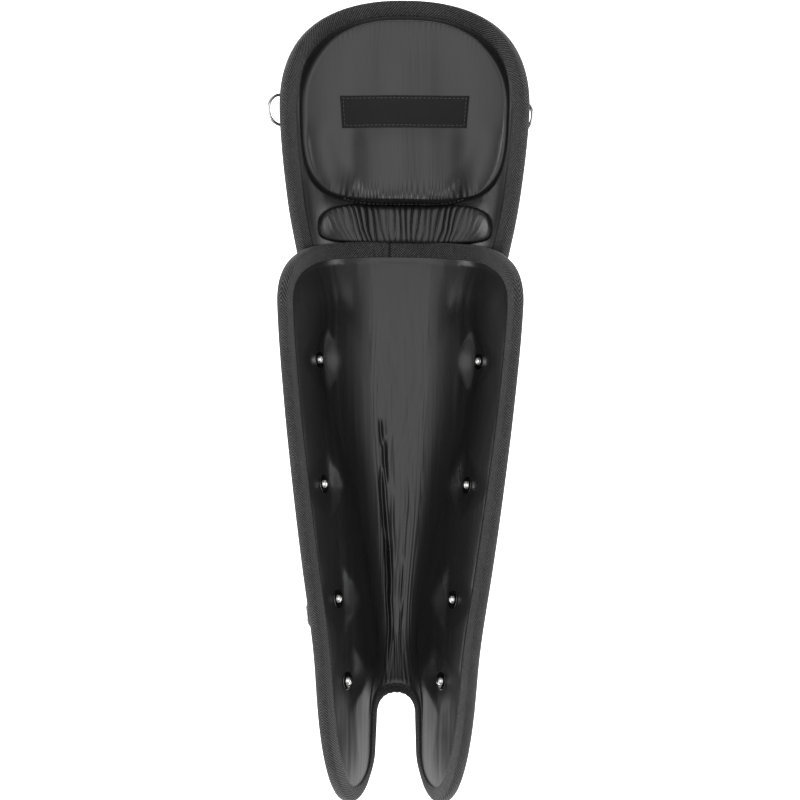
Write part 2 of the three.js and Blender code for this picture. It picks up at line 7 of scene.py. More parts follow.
import bpy
import numpy as np
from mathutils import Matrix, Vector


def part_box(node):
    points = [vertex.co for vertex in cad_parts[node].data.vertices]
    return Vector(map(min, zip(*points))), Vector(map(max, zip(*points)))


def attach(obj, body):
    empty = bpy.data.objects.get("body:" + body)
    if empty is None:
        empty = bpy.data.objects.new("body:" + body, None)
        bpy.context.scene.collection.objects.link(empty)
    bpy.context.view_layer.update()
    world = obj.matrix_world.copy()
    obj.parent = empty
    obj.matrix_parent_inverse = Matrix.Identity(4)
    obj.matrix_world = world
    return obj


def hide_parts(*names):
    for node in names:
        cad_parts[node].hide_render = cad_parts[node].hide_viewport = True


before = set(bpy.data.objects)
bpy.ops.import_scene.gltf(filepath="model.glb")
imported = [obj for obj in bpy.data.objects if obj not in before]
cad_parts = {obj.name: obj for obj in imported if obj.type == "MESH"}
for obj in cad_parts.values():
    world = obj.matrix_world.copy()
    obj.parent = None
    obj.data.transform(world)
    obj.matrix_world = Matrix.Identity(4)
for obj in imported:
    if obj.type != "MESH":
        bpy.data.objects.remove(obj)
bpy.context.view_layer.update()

MM = 0.001

# Section tables, one row for each station along the leg
# y along the leg, rim half-width, flat half-width, corner radius, wall slope in degrees, keel height
SHIN_SECTIONS = np.array([
    (-290, 52.5, 1, 27, 62, 6.6),
    (-203, 54, 1, 27, 62, 6.6),
    (-168, 56.7, 1, 28, 62, 6.6),
    (-112, 64.6, 4, 33, 62, 6.6),
    (-59, 71.4, 8, 41, 64.5, 6.8),
    (0, 78, 13, 50, 68, 8),
    (63, 83, 16, 53, 68, 11.2),
    (115, 83.5, 17, 54, 67, 11.8),
])
KNEE_SECTIONS = np.array([
    (70, 65, 17.5, 65, 67, 3.3),
    (104, 73, 17.5, 65, 67, 3.3),
    (140, 80, 17.5, 71, 67, 3.3),
    (196, 86, 18, 80, 67, 3.3),
    (240, 86, 19, 86, 67, 8),
    (285, 86, 20, 92, 67, 19),
])

# Bound edges
TAPE_FACE = 12.5  # tape on each face of a bound edge
NOTCH_FACE = 7.0  # and where it is drawn tight round the ankle notch
TAPE_THICK = 1.1
TAPE_EASE = 0.3  # room between the tape and the pad inside it
EDGE_THICK = 5.0  # pad squeezed under the tape
HEM_START = 0.22  # share of a face left bare inside the tape
HEM_RISE = 0.7  # how far the pad swells up against the tape
HEM_FINE = 4000  # points on each side of a hem line before it is resampled
PAD_HEM_STEP = 2.0  # distance between points of a hem line for the pads
TAPE_STEP = 1.0  # and for the tape
FOLD_IN = 0.9  # share of a face that the pad runs under the tape
SHELL_THICK = 3.0
SEAT_EASE = 0.7  # room under what is sewn on the knee panel

# Outlines at the hem line, one tape face in from the edge
SHIN_TOP = {"y": 66, "rise": 32.5, "power": 2.4}
NOTCH = {"y": -222, "half": 25.7, "rise": 23.5}
WING = {"tip": 48, "inner_half": 20.7, "inner_y": -245, "inner_drop": 22.5,
        "outer_y": -190, "outer_drop": 77.5, "power": 1.9}
KNEE_TOP = {"y": 203, "rise": 65.5, "power": 2.3}
KNEE_FOOT = {"y": 104, "drop": 17.5, "power": 3}
TAPE_WIDENS = (NOTCH["half"] + 3, WING["tip"] + 4)  # across, from the notch to the wing's tip


def quarter(u, power):
    """A quarter of a rounded outline: (1 - |u|^power)^(1/power), which is 1 at u = 0 and 0 at u = 1."""
    return np.maximum(0, 1 - np.abs(u) ** power) ** (1 / power)


def smoothstep(x, low, high):
    """A ramp 3t^2 - 2t^3 from 0 at low to 1 at high."""
    t = np.clip((x - low) / (high - low), 0, 1)
    return t * t * (3 - 2 * t)


def bump(x, width):
    """A bell exp(-(x/width)^2)."""
    return np.exp(-((x / width) ** 2))


def unit(vectors):
    """Vectors of length 1."""
    return vectors / np.linalg.norm(vectors, axis=-1, keepdims=True)


def run_along(line):
    """Distance along a line of points from its start: the running sum of the lengths between them."""
    return np.concatenate([[0], np.cumsum(np.linalg.norm(np.diff(line, axis=0), axis=1))])


def at_lengths(line, run, at):
    """A line's points at distances along it, straight between its own points."""
    return np.stack([np.interp(at, run, values) for values in line.T], -1)


def off_loop(across, y, span):
    """The direction off a closed loop: its tangent over a span of points either way, turned to the right."""
    tangent = unit(np.stack([np.roll(values, -span) - np.roll(values, span) for values in (across, y)], -1))
    return np.stack([tangent[:, 1], -tangent[:, 0]], -1)


def section(table, y):
    """A row of a section table at any y, eased between rows by a cubic whose slopes come from the neighbours.

    With s the share of the way and b = 3s^2 - 2s^3, a value is (1-b)A + bB + (s^3-2s^2+s)M1 + (s^3-s^2)M2.
    """
    y = np.asarray(y, float)
    stations = table[:, 0]
    i = np.clip(np.searchsorted(stations, y, side="right") - 1, 0, len(stations) - 2)
    before = np.maximum(i - 1, 0)
    after = np.minimum(i + 2, len(stations) - 1)
    span = stations[i + 1] - stations[i]
    s = np.clip((y - stations[i]) / span, 0, 1)[..., None]
    slope_in = (table[i + 1] - table[before]) * (span / (stations[i + 1] - stations[before]))[..., None]
    slope_out = (table[after] - table[i]) * (span / (stations[after] - stations[i]))[..., None]
    across = 3 * s**2 - 2 * s**3
    row = (1 - across) * table[i] + across * table[i + 1]
    row = row + (s**3 - 2 * s**2 + s) * slope_in + (s**3 - s**2) * slope_out
    return row[..., 1], row[..., 2], row[..., 3], np.radians(row[..., 4]), row[..., 5]


def half_length(table, y):
    """Length round half a section, from the keel over the flat and the corner and up the wall to the rim."""
    rim, flat, corner, slope, _ = section(table, y)
    reach = rim - flat
    on_corner = flat + corner * np.arcsin(np.clip(reach / corner, 0, 1))
    on_wall = flat + corner * slope + (reach - corner * np.sin(slope)) / np.cos(slope)
    return np.where(reach < corner * np.sin(slope), on_corner, on_wall)


def place(table, across, y, lift):
    """The point at a distance round the section from the keel, lifted off the outer face towards the leg.

    Past the flat the point runs round the corner's arc and then up the straight wall; the lift is along the
    section's normal (-sin(angle), cos(angle)).
    """
    across, y, lift = np.broadcast_arrays(*(np.asarray(v, float) for v in (across, y, lift)))
    _, flat, corner, slope, keel = section(table, y)
    along = np.abs(across)
    angle = np.clip((along - flat) / corner, 0, slope)
    past = np.maximum(0, along - flat - corner * angle)
    x = np.minimum(along, flat) + corner * np.sin(angle) + past * np.cos(angle)
    z = keel + corner * (1 - np.cos(angle)) + past * np.sin(angle)
    side = np.where(across < 0, -1, 1)
    return np.stack([side * (x - lift * np.sin(angle)), y, z + lift * np.cos(angle)], -1)


ROUND_STEP = 1.0  # either way of a place, to find the wall's directions
LEG_STEP = 4.0


def wall_frame(table, across, y):
    """The point on the outer face, and the unit directions round the section, along the leg and inward."""
    round_way = place(table, across + ROUND_STEP, y, 0) - place(table, across - ROUND_STEP, y, 0)
    leg_way = place(table, across, y + LEG_STEP, 0) - place(table, across, y - LEG_STEP, 0)
    inward = unit(np.cross(round_way, leg_way))
    round_way = unit(round_way)
    return place(table, across, y, 0), round_way, np.cross(inward, round_way), inward


# Where the two halves of the guard sit in the frame
SHIN_TOP_EDGE = SHIN_TOP["y"] + SHIN_TOP["rise"] + TAPE_FACE + TAPE_EASE + TAPE_THICK


def frame_shift(binding):
    """From a half's own millimetres to the frame: its tape's box is centred across, and y is the shin's."""
    low, high = (np.array(corner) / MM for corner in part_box(binding))
    shin_high = np.array(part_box("shin_binding")[1]) / MM
    return np.array([(low[0] + high[0]) / 2, shin_high[1] - SHIN_TOP_EDGE, 0])


SHIN = {"table": SHIN_SECTIONS, "shift": frame_shift("shin_binding")}
KNEE = {"table": KNEE_SECTIONS, "shift": frame_shift("knee_binding")}
ANKLE_HEM = half_length(SHIN_SECTIONS, NOTCH["y"]) - TAPE_FACE


def shin_foot(share):
    """The shin's lower hem line: a round notch, a short straight, and a wing that is round on both sides."""
    across = np.abs(share) * ANKLE_HEM
    inner_from = WING["tip"] - WING["inner_half"]
    notch = NOTCH["y"] + NOTCH["rise"] * quarter(np.minimum(1, across / NOTCH["half"]), 2)
    straight = np.interp(across, [NOTCH["half"], inner_from], [NOTCH["y"], WING["inner_y"]])
    inner = WING["inner_y"] - WING["inner_drop"] * quarter(
        np.clip((WING["tip"] - across) / WING["inner_half"], 0, 1), 2)
    outer = WING["outer_y"] - WING["outer_drop"] * quarter(
        np.clip((across - WING["tip"]) / (ANKLE_HEM - WING["tip"]), 0, 1), WING["power"])
    bounds = [across <= NOTCH["half"], across <= inner_from, across <= WING["tip"]]
    return np.select(bounds, [notch, straight, inner], outer)


def shin_top(share):
    """The shin's upper hem line, a flat rounded arch."""
    return SHIN_TOP["y"] + SHIN_TOP["rise"] * quarter(share, SHIN_TOP["power"])


def knee_foot(share):
    """The knee's lower hem line, which runs behind the top of the shin."""
    return KNEE_FOOT["y"] - KNEE_FOOT["drop"] * quarter(share, KNEE_FOOT["power"])


def knee_top(share):
    """The knee's upper hem line, a round arch."""
    return KNEE_TOP["y"] + KNEE_TOP["rise"] * quarter(share, KNEE_TOP["power"])


def shin_tape_face(across, y):
    """Width of tape on one face: full along the sides, drawn tight round the notch."""
    widened = smoothstep(np.abs(across), *TAPE_WIDENS)
    return np.where(y > WING["outer_y"], TAPE_FACE, NOTCH_FACE + (TAPE_FACE - NOTCH_FACE) * widened)


def knee_tape_face(across, y):
    """The knee's tape has one width all round."""
    return np.full(np.shape(y), TAPE_FACE)


SHIN.update(foot=shin_foot, top=shin_top, face=shin_tape_face)
KNEE.update(foot=knee_foot, top=knee_top, face=knee_tape_face)


def on_sheet(sheet, share, rise):
    """The unrolled sheet's (across, y) place at a share of the half-section and of that column's length."""
    share, rise = np.broadcast_arrays(np.asarray(share, float), np.asarray(rise, float))
    y = sheet["foot"](share) * (1 - rise) + sheet["top"](share) * rise
    return share * (half_length(sheet["table"], y) - TAPE_FACE), y


def hem_line(sheet, step):
    """The hem line as an evenly spaced loop: across, y, the direction off the sheet and the tape's width.

    A dense loop round the unit square (right side up, top, left side down, foot) is laid on the sheet and
    resampled by its length; the direction off the sheet is the loop's tangent turned a quarter to the right.
    """
    eased = np.sin(np.linspace(-np.pi / 2, np.pi / 2, HEM_FINE, endpoint=False))
    rising = np.linspace(0, 1, HEM_FINE, endpoint=False)
    whole = np.ones(HEM_FINE)
    share = np.concatenate([whole, -eased, -whole, eased])
    rise = np.concatenate([rising, whole, 1 - rising, 0 * whole])
    across, y = on_sheet(sheet, share, rise)
    across, y = np.append(across, across[0]), np.append(y, y[0])
    run = run_along(np.stack([across, y], -1))
    count = int(run[-1] / step)
    at = np.arange(count) * run[-1] / count
    across, y = np.interp(at, run, across), np.interp(at, run, y)
    out = off_loop(across, y, 2)
    return {"across": across, "y": y, "out": out, "face": sheet["face"](across, y), "length": run[-1]}


def off_hem(sheet, hem, reach, lift):
    """Points at a reach off the hem line, outward on the unrolled sheet, and at a lift off its outer face."""
    across = hem["across"][:, None] + hem["out"][:, :1] * reach
    y = hem["y"][:, None] + hem["out"][:, 1:] * reach
    return place(sheet["table"], across, y, lift)


def hem_inset(hem, across, y):
    """Distance on the unrolled sheet from each place to the hem line, square to the nearest stretch of it."""
    line = (hem["across"] + 1j * hem["y"]).astype(np.complex64)
    spots = (np.asarray(across) + 1j * np.asarray(y)).astype(np.complex64)
    nearest = np.abs(spots[..., None] - line).argmin(-1)
    out = hem["out"][nearest]
    return np.abs((across - hem["across"][nearest]) * out[..., 0] + (y - hem["y"][nearest]) * out[..., 1])


# Meshes from arrays


def grid_faces(rows, columns, wrap_rows=False, wrap_columns=False, start=0):
    """Four-sided faces of a grid of points, row by row, closed on itself where a wrap is asked for."""
    r = np.arange(rows if wrap_rows else rows - 1)[:, None]
    c = np.arange(columns if wrap_columns else columns - 1)[None]
    next_r = (r + 1) % rows * columns
    next_c = (c + 1) % columns
    corners = np.broadcast_arrays(r * columns + c, r * columns + next_c, next_r + next_c, next_r + c)
    return start + np.stack(corners, -1).reshape(-1, 4)


def pointed_faces(rings, sides):
    """Faces of rings round an axis, the first and the last of which are single points."""
    faces = grid_faces(rings, sides, False, True)
    last = (rings - 1) * sides
    return np.where(faces < sides, 0, np.where(faces >= last, last, faces))


def border_indices(columns, rows):
    """A grid's border in order: up the last column, back along the top, down the first, along the foot."""
    c, r = columns - 1, rows - 1
    return np.concatenate([c * rows + np.arange(r), np.arange(c, 0, -1) * rows + r, np.arange(r, 0, -1),
                           np.arange(c) * rows])


def between_skins(inner, outer, edge=None):
    """A closed body from two skins on one grid, joined round their border.

    edge holds, for each border point in order, the points on the way from the inner skin to the outer one.
    """
    columns, rows = inner.shape[:2]
    skin = columns * rows
    loop = border_indices(columns, rows)
    edge = np.empty((len(loop), 0, 3)) if edge is None else edge
    edge_at = 2 * skin + np.arange(edge.shape[0] * edge.shape[1]).reshape(edge.shape[:2])
    ring = np.concatenate([loop[:, None], edge_at, skin + loop[:, None]], 1)
    following = np.roll(ring, -1, axis=0)
    strips = np.stack([ring[:, :-1], following[:, :-1], following[:, 1:], ring[:, 1:]], -1).reshape(-1, 4)
    faces = grid_faces(columns, rows)
    points = np.concatenate([part.reshape(-1, 3) for part in (inner, outer, edge)])
    return points, np.concatenate([faces, faces[:, ::-1] + skin, strips])


def sweep_uv(along, around):
    """Texture corners for grid_faces of a profile carried along a path, with no jump where either closes."""
    r = np.arange(len(along) - 1)[:, None]
    c = np.arange(len(around) - 1)[None]
    corners = [(r, c), (r, c + 1), (r + 1, c + 1), (r + 1, c)]
    places = [np.stack(np.broadcast_arrays(along[a], around[b]), -1) for a, b in corners]
    return np.stack(places, -2).reshape(-1, 4, 2)


def outward(points, faces):
    """True if a closed surface's faces point out: the triple products of their corners sum above zero."""
    centred = points - points.mean(0)
    a, b, c, d = (centred[faces[:, k]] for k in range(4))
    return (a * np.cross(b, c)).sum() + (a * np.cross(c, d)).sum() > 0


def make_piece(name, points, faces, material, shift, uv=None):
    """A closed smooth mesh object from points in mm and four-sided faces; a face may repeat a corner."""
    if not outward(points, faces):
        faces = faces[:, ::-1]
        uv = None if uv is None else uv[:, ::-1]
    repeats = faces == np.roll(faces, -1, axis=1)
    sizes = 4 - repeats.sum(1)
    mesh = bpy.data.meshes.new(name)
    mesh.vertices.add(len(points))
    mesh.vertices.foreach_set("co", ((points + shift) * MM).astype(np.float32).ravel())
    mesh.loops.add(int(sizes.sum()))
    mesh.loops.foreach_set("vertex_index", faces[~repeats].astype(np.int32))
    mesh.polygons.add(len(faces))
    mesh.polygons.foreach_set("loop_start", np.concatenate([[0], np.cumsum(sizes)[:-1]]).astype(np.int32))
    mesh.polygons.foreach_set("use_smooth", np.ones(len(faces), bool))
    if uv is not None:
        layer = mesh.uv_layers.new(name="UVMap")
        layer.data.foreach_set("uv", (uv[~repeats] * MM).astype(np.float32).ravel())
    mesh.update(calc_edges=True)
    mesh.materials.append(material)
    piece = bpy.data.objects.new(name, mesh)
    bpy.context.scene.collection.objects.link(piece)
    return piece


def dress(piece, slot, *nodes):
    """Rides a piece on the guard's one body and hides the solids that it stands for; slot is not used."""
    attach(piece, "root")
    if nodes:
        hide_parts(*nodes)
    return piece


# Finishes


def node(tree, kind, inputs=None, **settings):
    """A shader node with its settings made, and each input either linked from a socket or given a value."""
    made = tree.nodes.new("ShaderNode" + kind)
    for key, value in settings.items():
        setattr(made, key, value)
    for key, value in (inputs or {}).items():
        if isinstance(value, bpy.types.NodeSocket):
            tree.links.new(value, made.inputs[key])
        else:
            made.inputs[key].default_value = value
    return made


def calc(tree, operation, *values):
    """The result of a Math node on sockets or numbers."""
    return node(tree, "Math", dict(enumerate(values)), operation=operation).outputs[0]


def blend(tree, share, low, high):
    """A colour between two, by a share from 0 to 1."""
    stops = node(tree, "ValToRGB", {"Fac": share})
    stops.color_ramp.elements[0].color = (*low, 1)
    stops.color_ramp.elements[1].color = (*high, 1)
    return stops.outputs["Color"]


def ramp(tree, value, low, high, out_low, out_high):
    """A value stretched from one range to another, held at the ends."""
    spread = {"Value": value, "From Min": low, "From Max": high, "To Min": out_low, "To Max": out_high}
    return node(tree, "MapRange", spread).outputs["Result"]


def stretched(tree, scale=(1, 1, 1)):
    """The piece's own coordinates, stretched by a scale for each axis."""
    coordinates = node(tree, "TexCoord").outputs["Object"]
    return node(tree, "Mapping", {"Vector": coordinates, "Scale": scale}).outputs["Vector"]


def split(tree, source):
    """The X, Y and Z outputs of a texture coordinate."""
    return node(tree, "SeparateXYZ", {0: node(tree, "TexCoord").outputs[source]}).outputs


def noise(tree, vector, scale, detail=3.0):
    """Cloudy noise from 0 to 1."""
    return node(tree, "TexNoise", {"Vector": vector, "Scale": scale, "Detail": detail}).outputs["Fac"]


def bumped(tree, height, strength, distance, under=None):
    """A normal tilted by a height, over another normal where one is given."""
    inputs = {"Height": height, "Strength": strength, "Distance": distance}
    if under is not None:
        inputs["Normal"] = under
    return node(tree, "Bump", inputs).outputs["Normal"]


def finish_of(name, **constants):
    """A new material: its node tree and the shader, with the shader's plain values set."""
    material = bpy.data.materials.new(name)
    material.use_nodes = True
    tree = material.node_tree
    shader = tree.nodes["Principled BSDF"]
    for key, value in constants.items():
        shader.inputs[key.replace("_", " ")].default_value = value
    return material, tree, shader


def feed(tree, shader, colour, roughness, normal):
    """Links the three sockets that every finish works out to its shader."""
    tree.links.new(colour, shader.inputs["Base Color"])
    tree.links.new(roughness, shader.inputs["Roughness"])
    tree.links.new(normal, shader.inputs["Normal"])


# Bands of the frame in metres where a finish changes
PRONG_Y = (-0.2, -0.17)
GROOVE_Y = (-0.02, 0.1)
# NOTCH_X also bounds the tape's painted shade round the ankle notch
NOTCH_X = (0.018, 0.03)
SEEN_NOISE = (0.3, 0.7)  # the range in which cloudy noise mostly lies


def vinyl_finish():
    """Satin black vinyl: faint grain, streaks along the leg, and a sheen that comes and goes a little."""
    material, tree, shader = finish_of("satin_vinyl", Specular_IOR_Level=0.5)
    streak = noise(tree, stretched(tree, (1, 0.045, 1)), scale=420, detail=4)
    cloud = noise(tree, stretched(tree, (1, 0.4, 1)), scale=28)
    grain = node(tree, "TexVoronoi", {"Vector": stretched(tree), "Scale": 1500}).outputs["Distance"]
    shade = calc(tree, "MULTIPLY", calc(tree, "ADD", streak, cloud), 0.5)
    leg_y = split(tree, "Object")["Y"]
    blur = ramp(tree, leg_y, *PRONG_Y, 0.1, 0)
    grooves = noise(tree, stretched(tree, (1, 0.06, 1)), scale=190)
    grooves = calc(tree, "MULTIPLY", grooves, ramp(tree, leg_y, *GROOVE_Y, 1, 0))
    normal = bumped(tree, grooves, strength=0.3, distance=0.0008)
    normal = bumped(tree, streak, strength=0.12, distance=0.0004, under=normal)
    feed(tree, shader, blend(tree, shade, (0.006, 0.006, 0.0065), (0.014, 0.0138, 0.0142)),
         calc(tree, "ADD", ramp(tree, shade, *SEEN_NOISE, 0.27, 0.35), blur),
         bumped(tree, grain, strength=0.05, distance=0.0002, under=normal))
    return material


RIB_PITCH = 1.9  # of the tape's twill, along its length
RIB_POWER = 1.4  # sharpens the ribs
# Painted shade: the tape's ribs are darkened round the ankle notch, where the tape is seen edge-on
NOTCH_PAINTED_SHADE = 0.35  # how much of their brightness is left round the ankle notch
# The dark line of the join is a painted shadow, where the tape's overlapping end shades the tape beside it
JOIN = {"across": -6.8, "step": 0.6, "edge": 1.0, "fall": 9}  # where the shin's tape meets itself
JOIN_PAINTED_SHADOW = {"dark": (0.0005, 0.0011), "y": 0.105, "half": 0.02}  # and its dark line, in the frame's metres


def tape_finish():
    """Herringbone twill tape: ribs that slant away from a spine, by the distance along and off the spine.

    Fluff and wear dim the ribs, and so do painted shade round the ankle notch and a painted shadow at the
    join.
    """
    material, tree, shader = finish_of("twill_tape", Specular_IOR_Level=0.22, Sheen_Weight=0.1)
    woven = split(tree, "UV")
    slanted = calc(tree, "SUBTRACT", woven["X"], calc(tree, "ABSOLUTE", woven["Y"]))
    turns = calc(tree, "MULTIPLY", slanted, 2 * math.pi / (RIB_PITCH * MM))
    rib = calc(tree, "POWER", calc(tree, "MULTIPLY_ADD", calc(tree, "SINE", turns), 0.5, 0.5), RIB_POWER)
    thread = noise(tree, stretched(tree), scale=800, detail=2)
    cloud = noise(tree, stretched(tree), scale=60)
    spot = split(tree, "Object")
    # Painted shade round the ankle notch, where the tape is seen edge-on
    notch_painted_shade = calc(tree, "MAXIMUM", ramp(tree, calc(tree, "ABSOLUTE", spot["X"]), *NOTCH_X, NOTCH_PAINTED_SHADE, 1),
                     ramp(tree, spot["Y"], *PRONG_Y, NOTCH_PAINTED_SHADE, 1))
    # Painted shadow along the join, where the tape's overlapping end shades the tape beside it
    from_join = calc(tree, "ABSOLUTE", calc(tree, "SUBTRACT", spot["X"], JOIN["across"] * MM))
    from_top = calc(tree, "ABSOLUTE", calc(tree, "SUBTRACT", spot["Y"], JOIN_PAINTED_SHADOW["y"]))
    join_painted_shadow = calc(tree, "MAXIMUM", ramp(tree, from_join, *JOIN_PAINTED_SHADOW["dark"], 0, 1),
                    calc(tree, "GREATER_THAN", from_top, JOIN_PAINTED_SHADOW["half"]))
    fluff = ramp(tree, thread, 0.32, 0.68, 0.3, 1)
    wear = ramp(tree, cloud, *SEEN_NOISE, 0.75, 1)
    bright = rib
    for share in (fluff, wear, notch_painted_shade, join_painted_shadow):
        bright = calc(tree, "MULTIPLY", bright, share)
    ribbed = bumped(tree, rib, strength=0.6, distance=0.0006)
    feed(tree, shader, blend(tree, bright, (0.005, 0.005, 0.0053), (0.112, 0.111, 0.112)),
         ramp(tree, thread, *SEEN_NOISE, 0.62, 0.8),
         bumped(tree, thread, strength=0.4, distance=0.0003, under=ribbed))
    return material


def nickel_finish(name, low, high):
    """Plated metal, bright or dark, with fine scratches and a slightly clouded shine."""
    material, tree, shader = finish_of(name, Metallic=1.0)
    scratch = noise(tree, stretched(tree, (1, 6, 1)), scale=500, detail=4)
    cloud = noise(tree, stretched(tree), scale=160)
    feed(tree, shader, blend(tree, cloud, low, high), ramp(tree, scratch, *SEEN_NOISE, 0.1, 0.24),
         bumped(tree, scratch, strength=0.05, distance=0.0002))
    return material


WEAVE_PITCH = 0.9


def weave_finish():
    """Close black plain weave: two sets of fine ribs at right angles."""
    material, tree, shader = finish_of("plain_weave", Specular_IOR_Level=0.25, Sheen_Weight=0.08)
    spot = split(tree, "Object")
    warp, weft = (calc(tree, "SINE", calc(tree, "MULTIPLY", spot[axis], 2 * math.pi / (WEAVE_PITCH * MM)))
                  for axis in "XY")
    over = calc(tree, "MULTIPLY_ADD", calc(tree, "MULTIPLY", warp, weft), 0.5, 0.5)
    fuzz = noise(tree, stretched(tree), scale=900)
    feed(tree, shader,
         blend(tree, calc(tree, "MULTIPLY", over, fuzz), (0.004, 0.004, 0.0045), (0.018, 0.018, 0.0185)),
         ramp(tree, fuzz, *SEEN_NOISE, 0.75, 0.9), bumped(tree, over, strength=0.5, distance=0.0002))
    return material


def thread_finish():
    """Twisted black thread: fine slanted ply."""
    material, tree, shader = finish_of("sewing_thread", Specular_IOR_Level=0.4, Sheen_Weight=0.1)
    ply = noise(tree, stretched(tree), scale=3200, detail=2)
    feed(tree, shader, blend(tree, ply, (0.012, 0.012, 0.012), (0.05, 0.05, 0.051)),
         ramp(tree, ply, *SEEN_NOISE, 0.45, 0.65), bumped(tree, ply, strength=0.3, distance=0.0002))
    return material


def plastic_finish():
    """Moulded black plastic: fine pebbled texture, slightly scuffed."""
    material, tree, shader = finish_of("moulded_plastic", Specular_IOR_Level=0.5)
    pebble = node(tree, "TexVoronoi", {"Vector": stretched(tree), "Scale": 700}).outputs["Distance"]
    scuff = noise(tree, stretched(tree, (1, 0.25, 1)), scale=90, detail=5)
    feed(tree, shader, blend(tree, scuff, (0.009, 0.009, 0.0095), (0.022, 0.022, 0.023)),
         ramp(tree, scuff, *SEEN_NOISE, 0.32, 0.5), bumped(tree, pebble, strength=0.15, distance=0.0003))
    return material


VINYL = vinyl_finish()
THREAD = thread_finish()
PLASTIC = plastic_finish()
TAPE = tape_finish()
WEAVE = weave_finish()
NICKEL = nickel_finish("nickel_plate", (0.55, 0.55, 0.54), (0.78, 0.78, 0.77))
# The washers under the rivet caps take a much darker copy of the plated metal
WASHER = nickel_finish("dark_washer_plate", (0.035, 0.035, 0.036), (0.09, 0.09, 0.09))


# Shin pad
SHIN_SWELL = 8.0  # how much thicker the pad is away from its edge
SHIN_PUFF = {"height": 0.9, "reach": 4.4, "out": 2.2}  # the part of it that puffs up right beside the tape
# Distances over which the rest fills in, from the sides and from the middle and the corners of the top
FILL = {"side": 42, "top": 75, "corner": 34, "corner_across": (14, 60), "upper_y": (-40, 20)}
MIDDLE_HALF = 34  # of the creased strip down the middle
# Rivets: y along the leg, and the distance round from the keel on the left and the right
RIVET_ROWS = np.array([
    (28, 71.1, 69.3),
    (-59, 80.2, 71),
    (-138.5, 69.6, 64.4),
    (-195.5, 59.2, 53.2),
])
SEAT_THICK = 4.5  # pad left under a rivet


def edge_swell(inset, height, reach):
    """A quarter round that climbs from the hem: height times sqrt(1 - (1 - inset/reach)^2)."""
    return height * quarter(1 - np.minimum(1, inset / reach), 2)


# Folds down the middle of the lining: across at the upper and lower end, y of both ends, depth, half-width
FOLDS = np.array([
    (-13.2, -12.6, -12, -33, 1.5, 1.3),
    (-10.0, -9.4, -24, -60, 2.0, 1.7),
    (-13.4, -12.8, -46, -92, 2.2, 1.7),
    (-11.6, -9.4, -76, -152, 2.3, 1.7),
    (-9.4, -9.2, -98, -140, 2.4, 2.0),
    (-10.2, -9.4, -128, -205, 2.3, 1.8),
    (1.6, 2.4, -108, -150, 0.7, 1.1),
    (3.6, 3.2, -138, -206, 1.0, 1.2),
    (-5.6, -5.4, -168, -206, 0.9, 1.1),
    (-1.6, -1.2, -160, -206, 0.8, 1.2),
    (6.8, 6.0, -176, -204, 1.0, 1.3),
    (-3.0, -4.2, -62, -120, 0.7, 1.2),
    (5.4, 4.6, -52, -118, 0.5, 1.4),
])
FOLD = {"sway": 0.7, "sway_length": 9.5, "phase": 2.3, "end_power": 0.6,
        "ridge": 0.45, "ridge_off": 2.1, "ridge_half": 1.2}
# Fine streaks along the leg: wavelength across, height, drift and the length that it drifts over
STREAKS = np.array([
    (5.2, 0.07, 2.4, 31),
    (3.7, 0.08, 3.1, 23),
    (2.9, 0.07, 2.7, 17),
    (2.1, 0.05, 3.6, 13),
])
STREAK = {"phase": 1.7, "swell": 0.4, "swell_length": 2.3, "swell_across": 11, "swell_phase": 2.9}
PIT = {"seat": 6.4, "depth": 6, "tilt": 35, "rim": 27, "round": 7, "along": 18, "soft": 0.2}
VALLEY = {"depth": 2.8, "half": 17, "foot_fade": 45, "top_fade": (28, 70)}
PUCKER = {"pitch": 4.3, "depth": 0.8, "reach": 7, "start": 1.2, "sway": 0.9, "sway_length": 6.1,
          "top_y": (72, 88), "top_across": (8, 34), "notch": 1.3, "notch_half": 16, "notch_y": (-196, -150)}
ARCS = {"y": 108, "radii": (60, 64.5, 70), "half": 1.1, "depth": 0.14, "reach": 48, "fade": (63, 98)}
PRONG = {"thin": 0.8, "span": (185, 228)}  # the pad thins down its prongs


def beside_rivets(across, left, right):
    """Distance round the section from the row of rivets on the same half."""
    return np.where(across < 0, across + left, across - right)


def rivet_pits(across, y):
    """Depth pulled out of the pad by its rivets, as a share from 0 to 1.

    Along the leg the depth g falls off as a rounded V, a hyperbola, either side of the rivet. Round the
    section it is g on a seat as wide as the washer, then falls evenly: towards the keel over a flank at one
    tilt on any wall, towards the rim over a long one. A soft lower bound rounds off the outer edge.
    """
    share = np.zeros(np.shape(across))
    for rivet_y, left, right in RIVET_ROWS:
        aside = beside_rivets(across, left, right)
        steep = section(SHIN_SECTIONS, rivet_y)[3] - math.radians(PIT["tilt"])
        along = (np.hypot(y - rivet_y, PIT["round"]) - PIT["round"]) / PIT["along"]
        deep = np.maximum(0, 1 - along)
        off_seat = np.maximum(0, np.abs(aside) - PIT["seat"] * deep)
        flank_long = np.where(aside * np.sign(across) > 0, PIT["rim"], PIT["depth"] / np.tan(steep))
        flank = deep - off_seat / flank_long
        flank = (flank + np.hypot(flank, PIT["soft"])) / 2 - PIT["soft"] / 4
        share = np.maximum(share, np.clip(flank, 0, 1))
    return share


def rivet_valley(across, y):
    """A shallow valley along each line of rivets: a bell across that line."""
    rising = RIVET_ROWS[::-1]
    left, right = (np.interp(y, rising[:, 0], rising[:, k]) for k in (1, 2))
    foot_y = rising[0, 0]
    ends = smoothstep(y, foot_y - VALLEY["foot_fade"], foot_y) * (1 - smoothstep(y, *VALLEY["top_fade"]))
    return VALLEY["depth"] * bump(beside_rivets(across, left, right), VALLEY["half"]) * ends


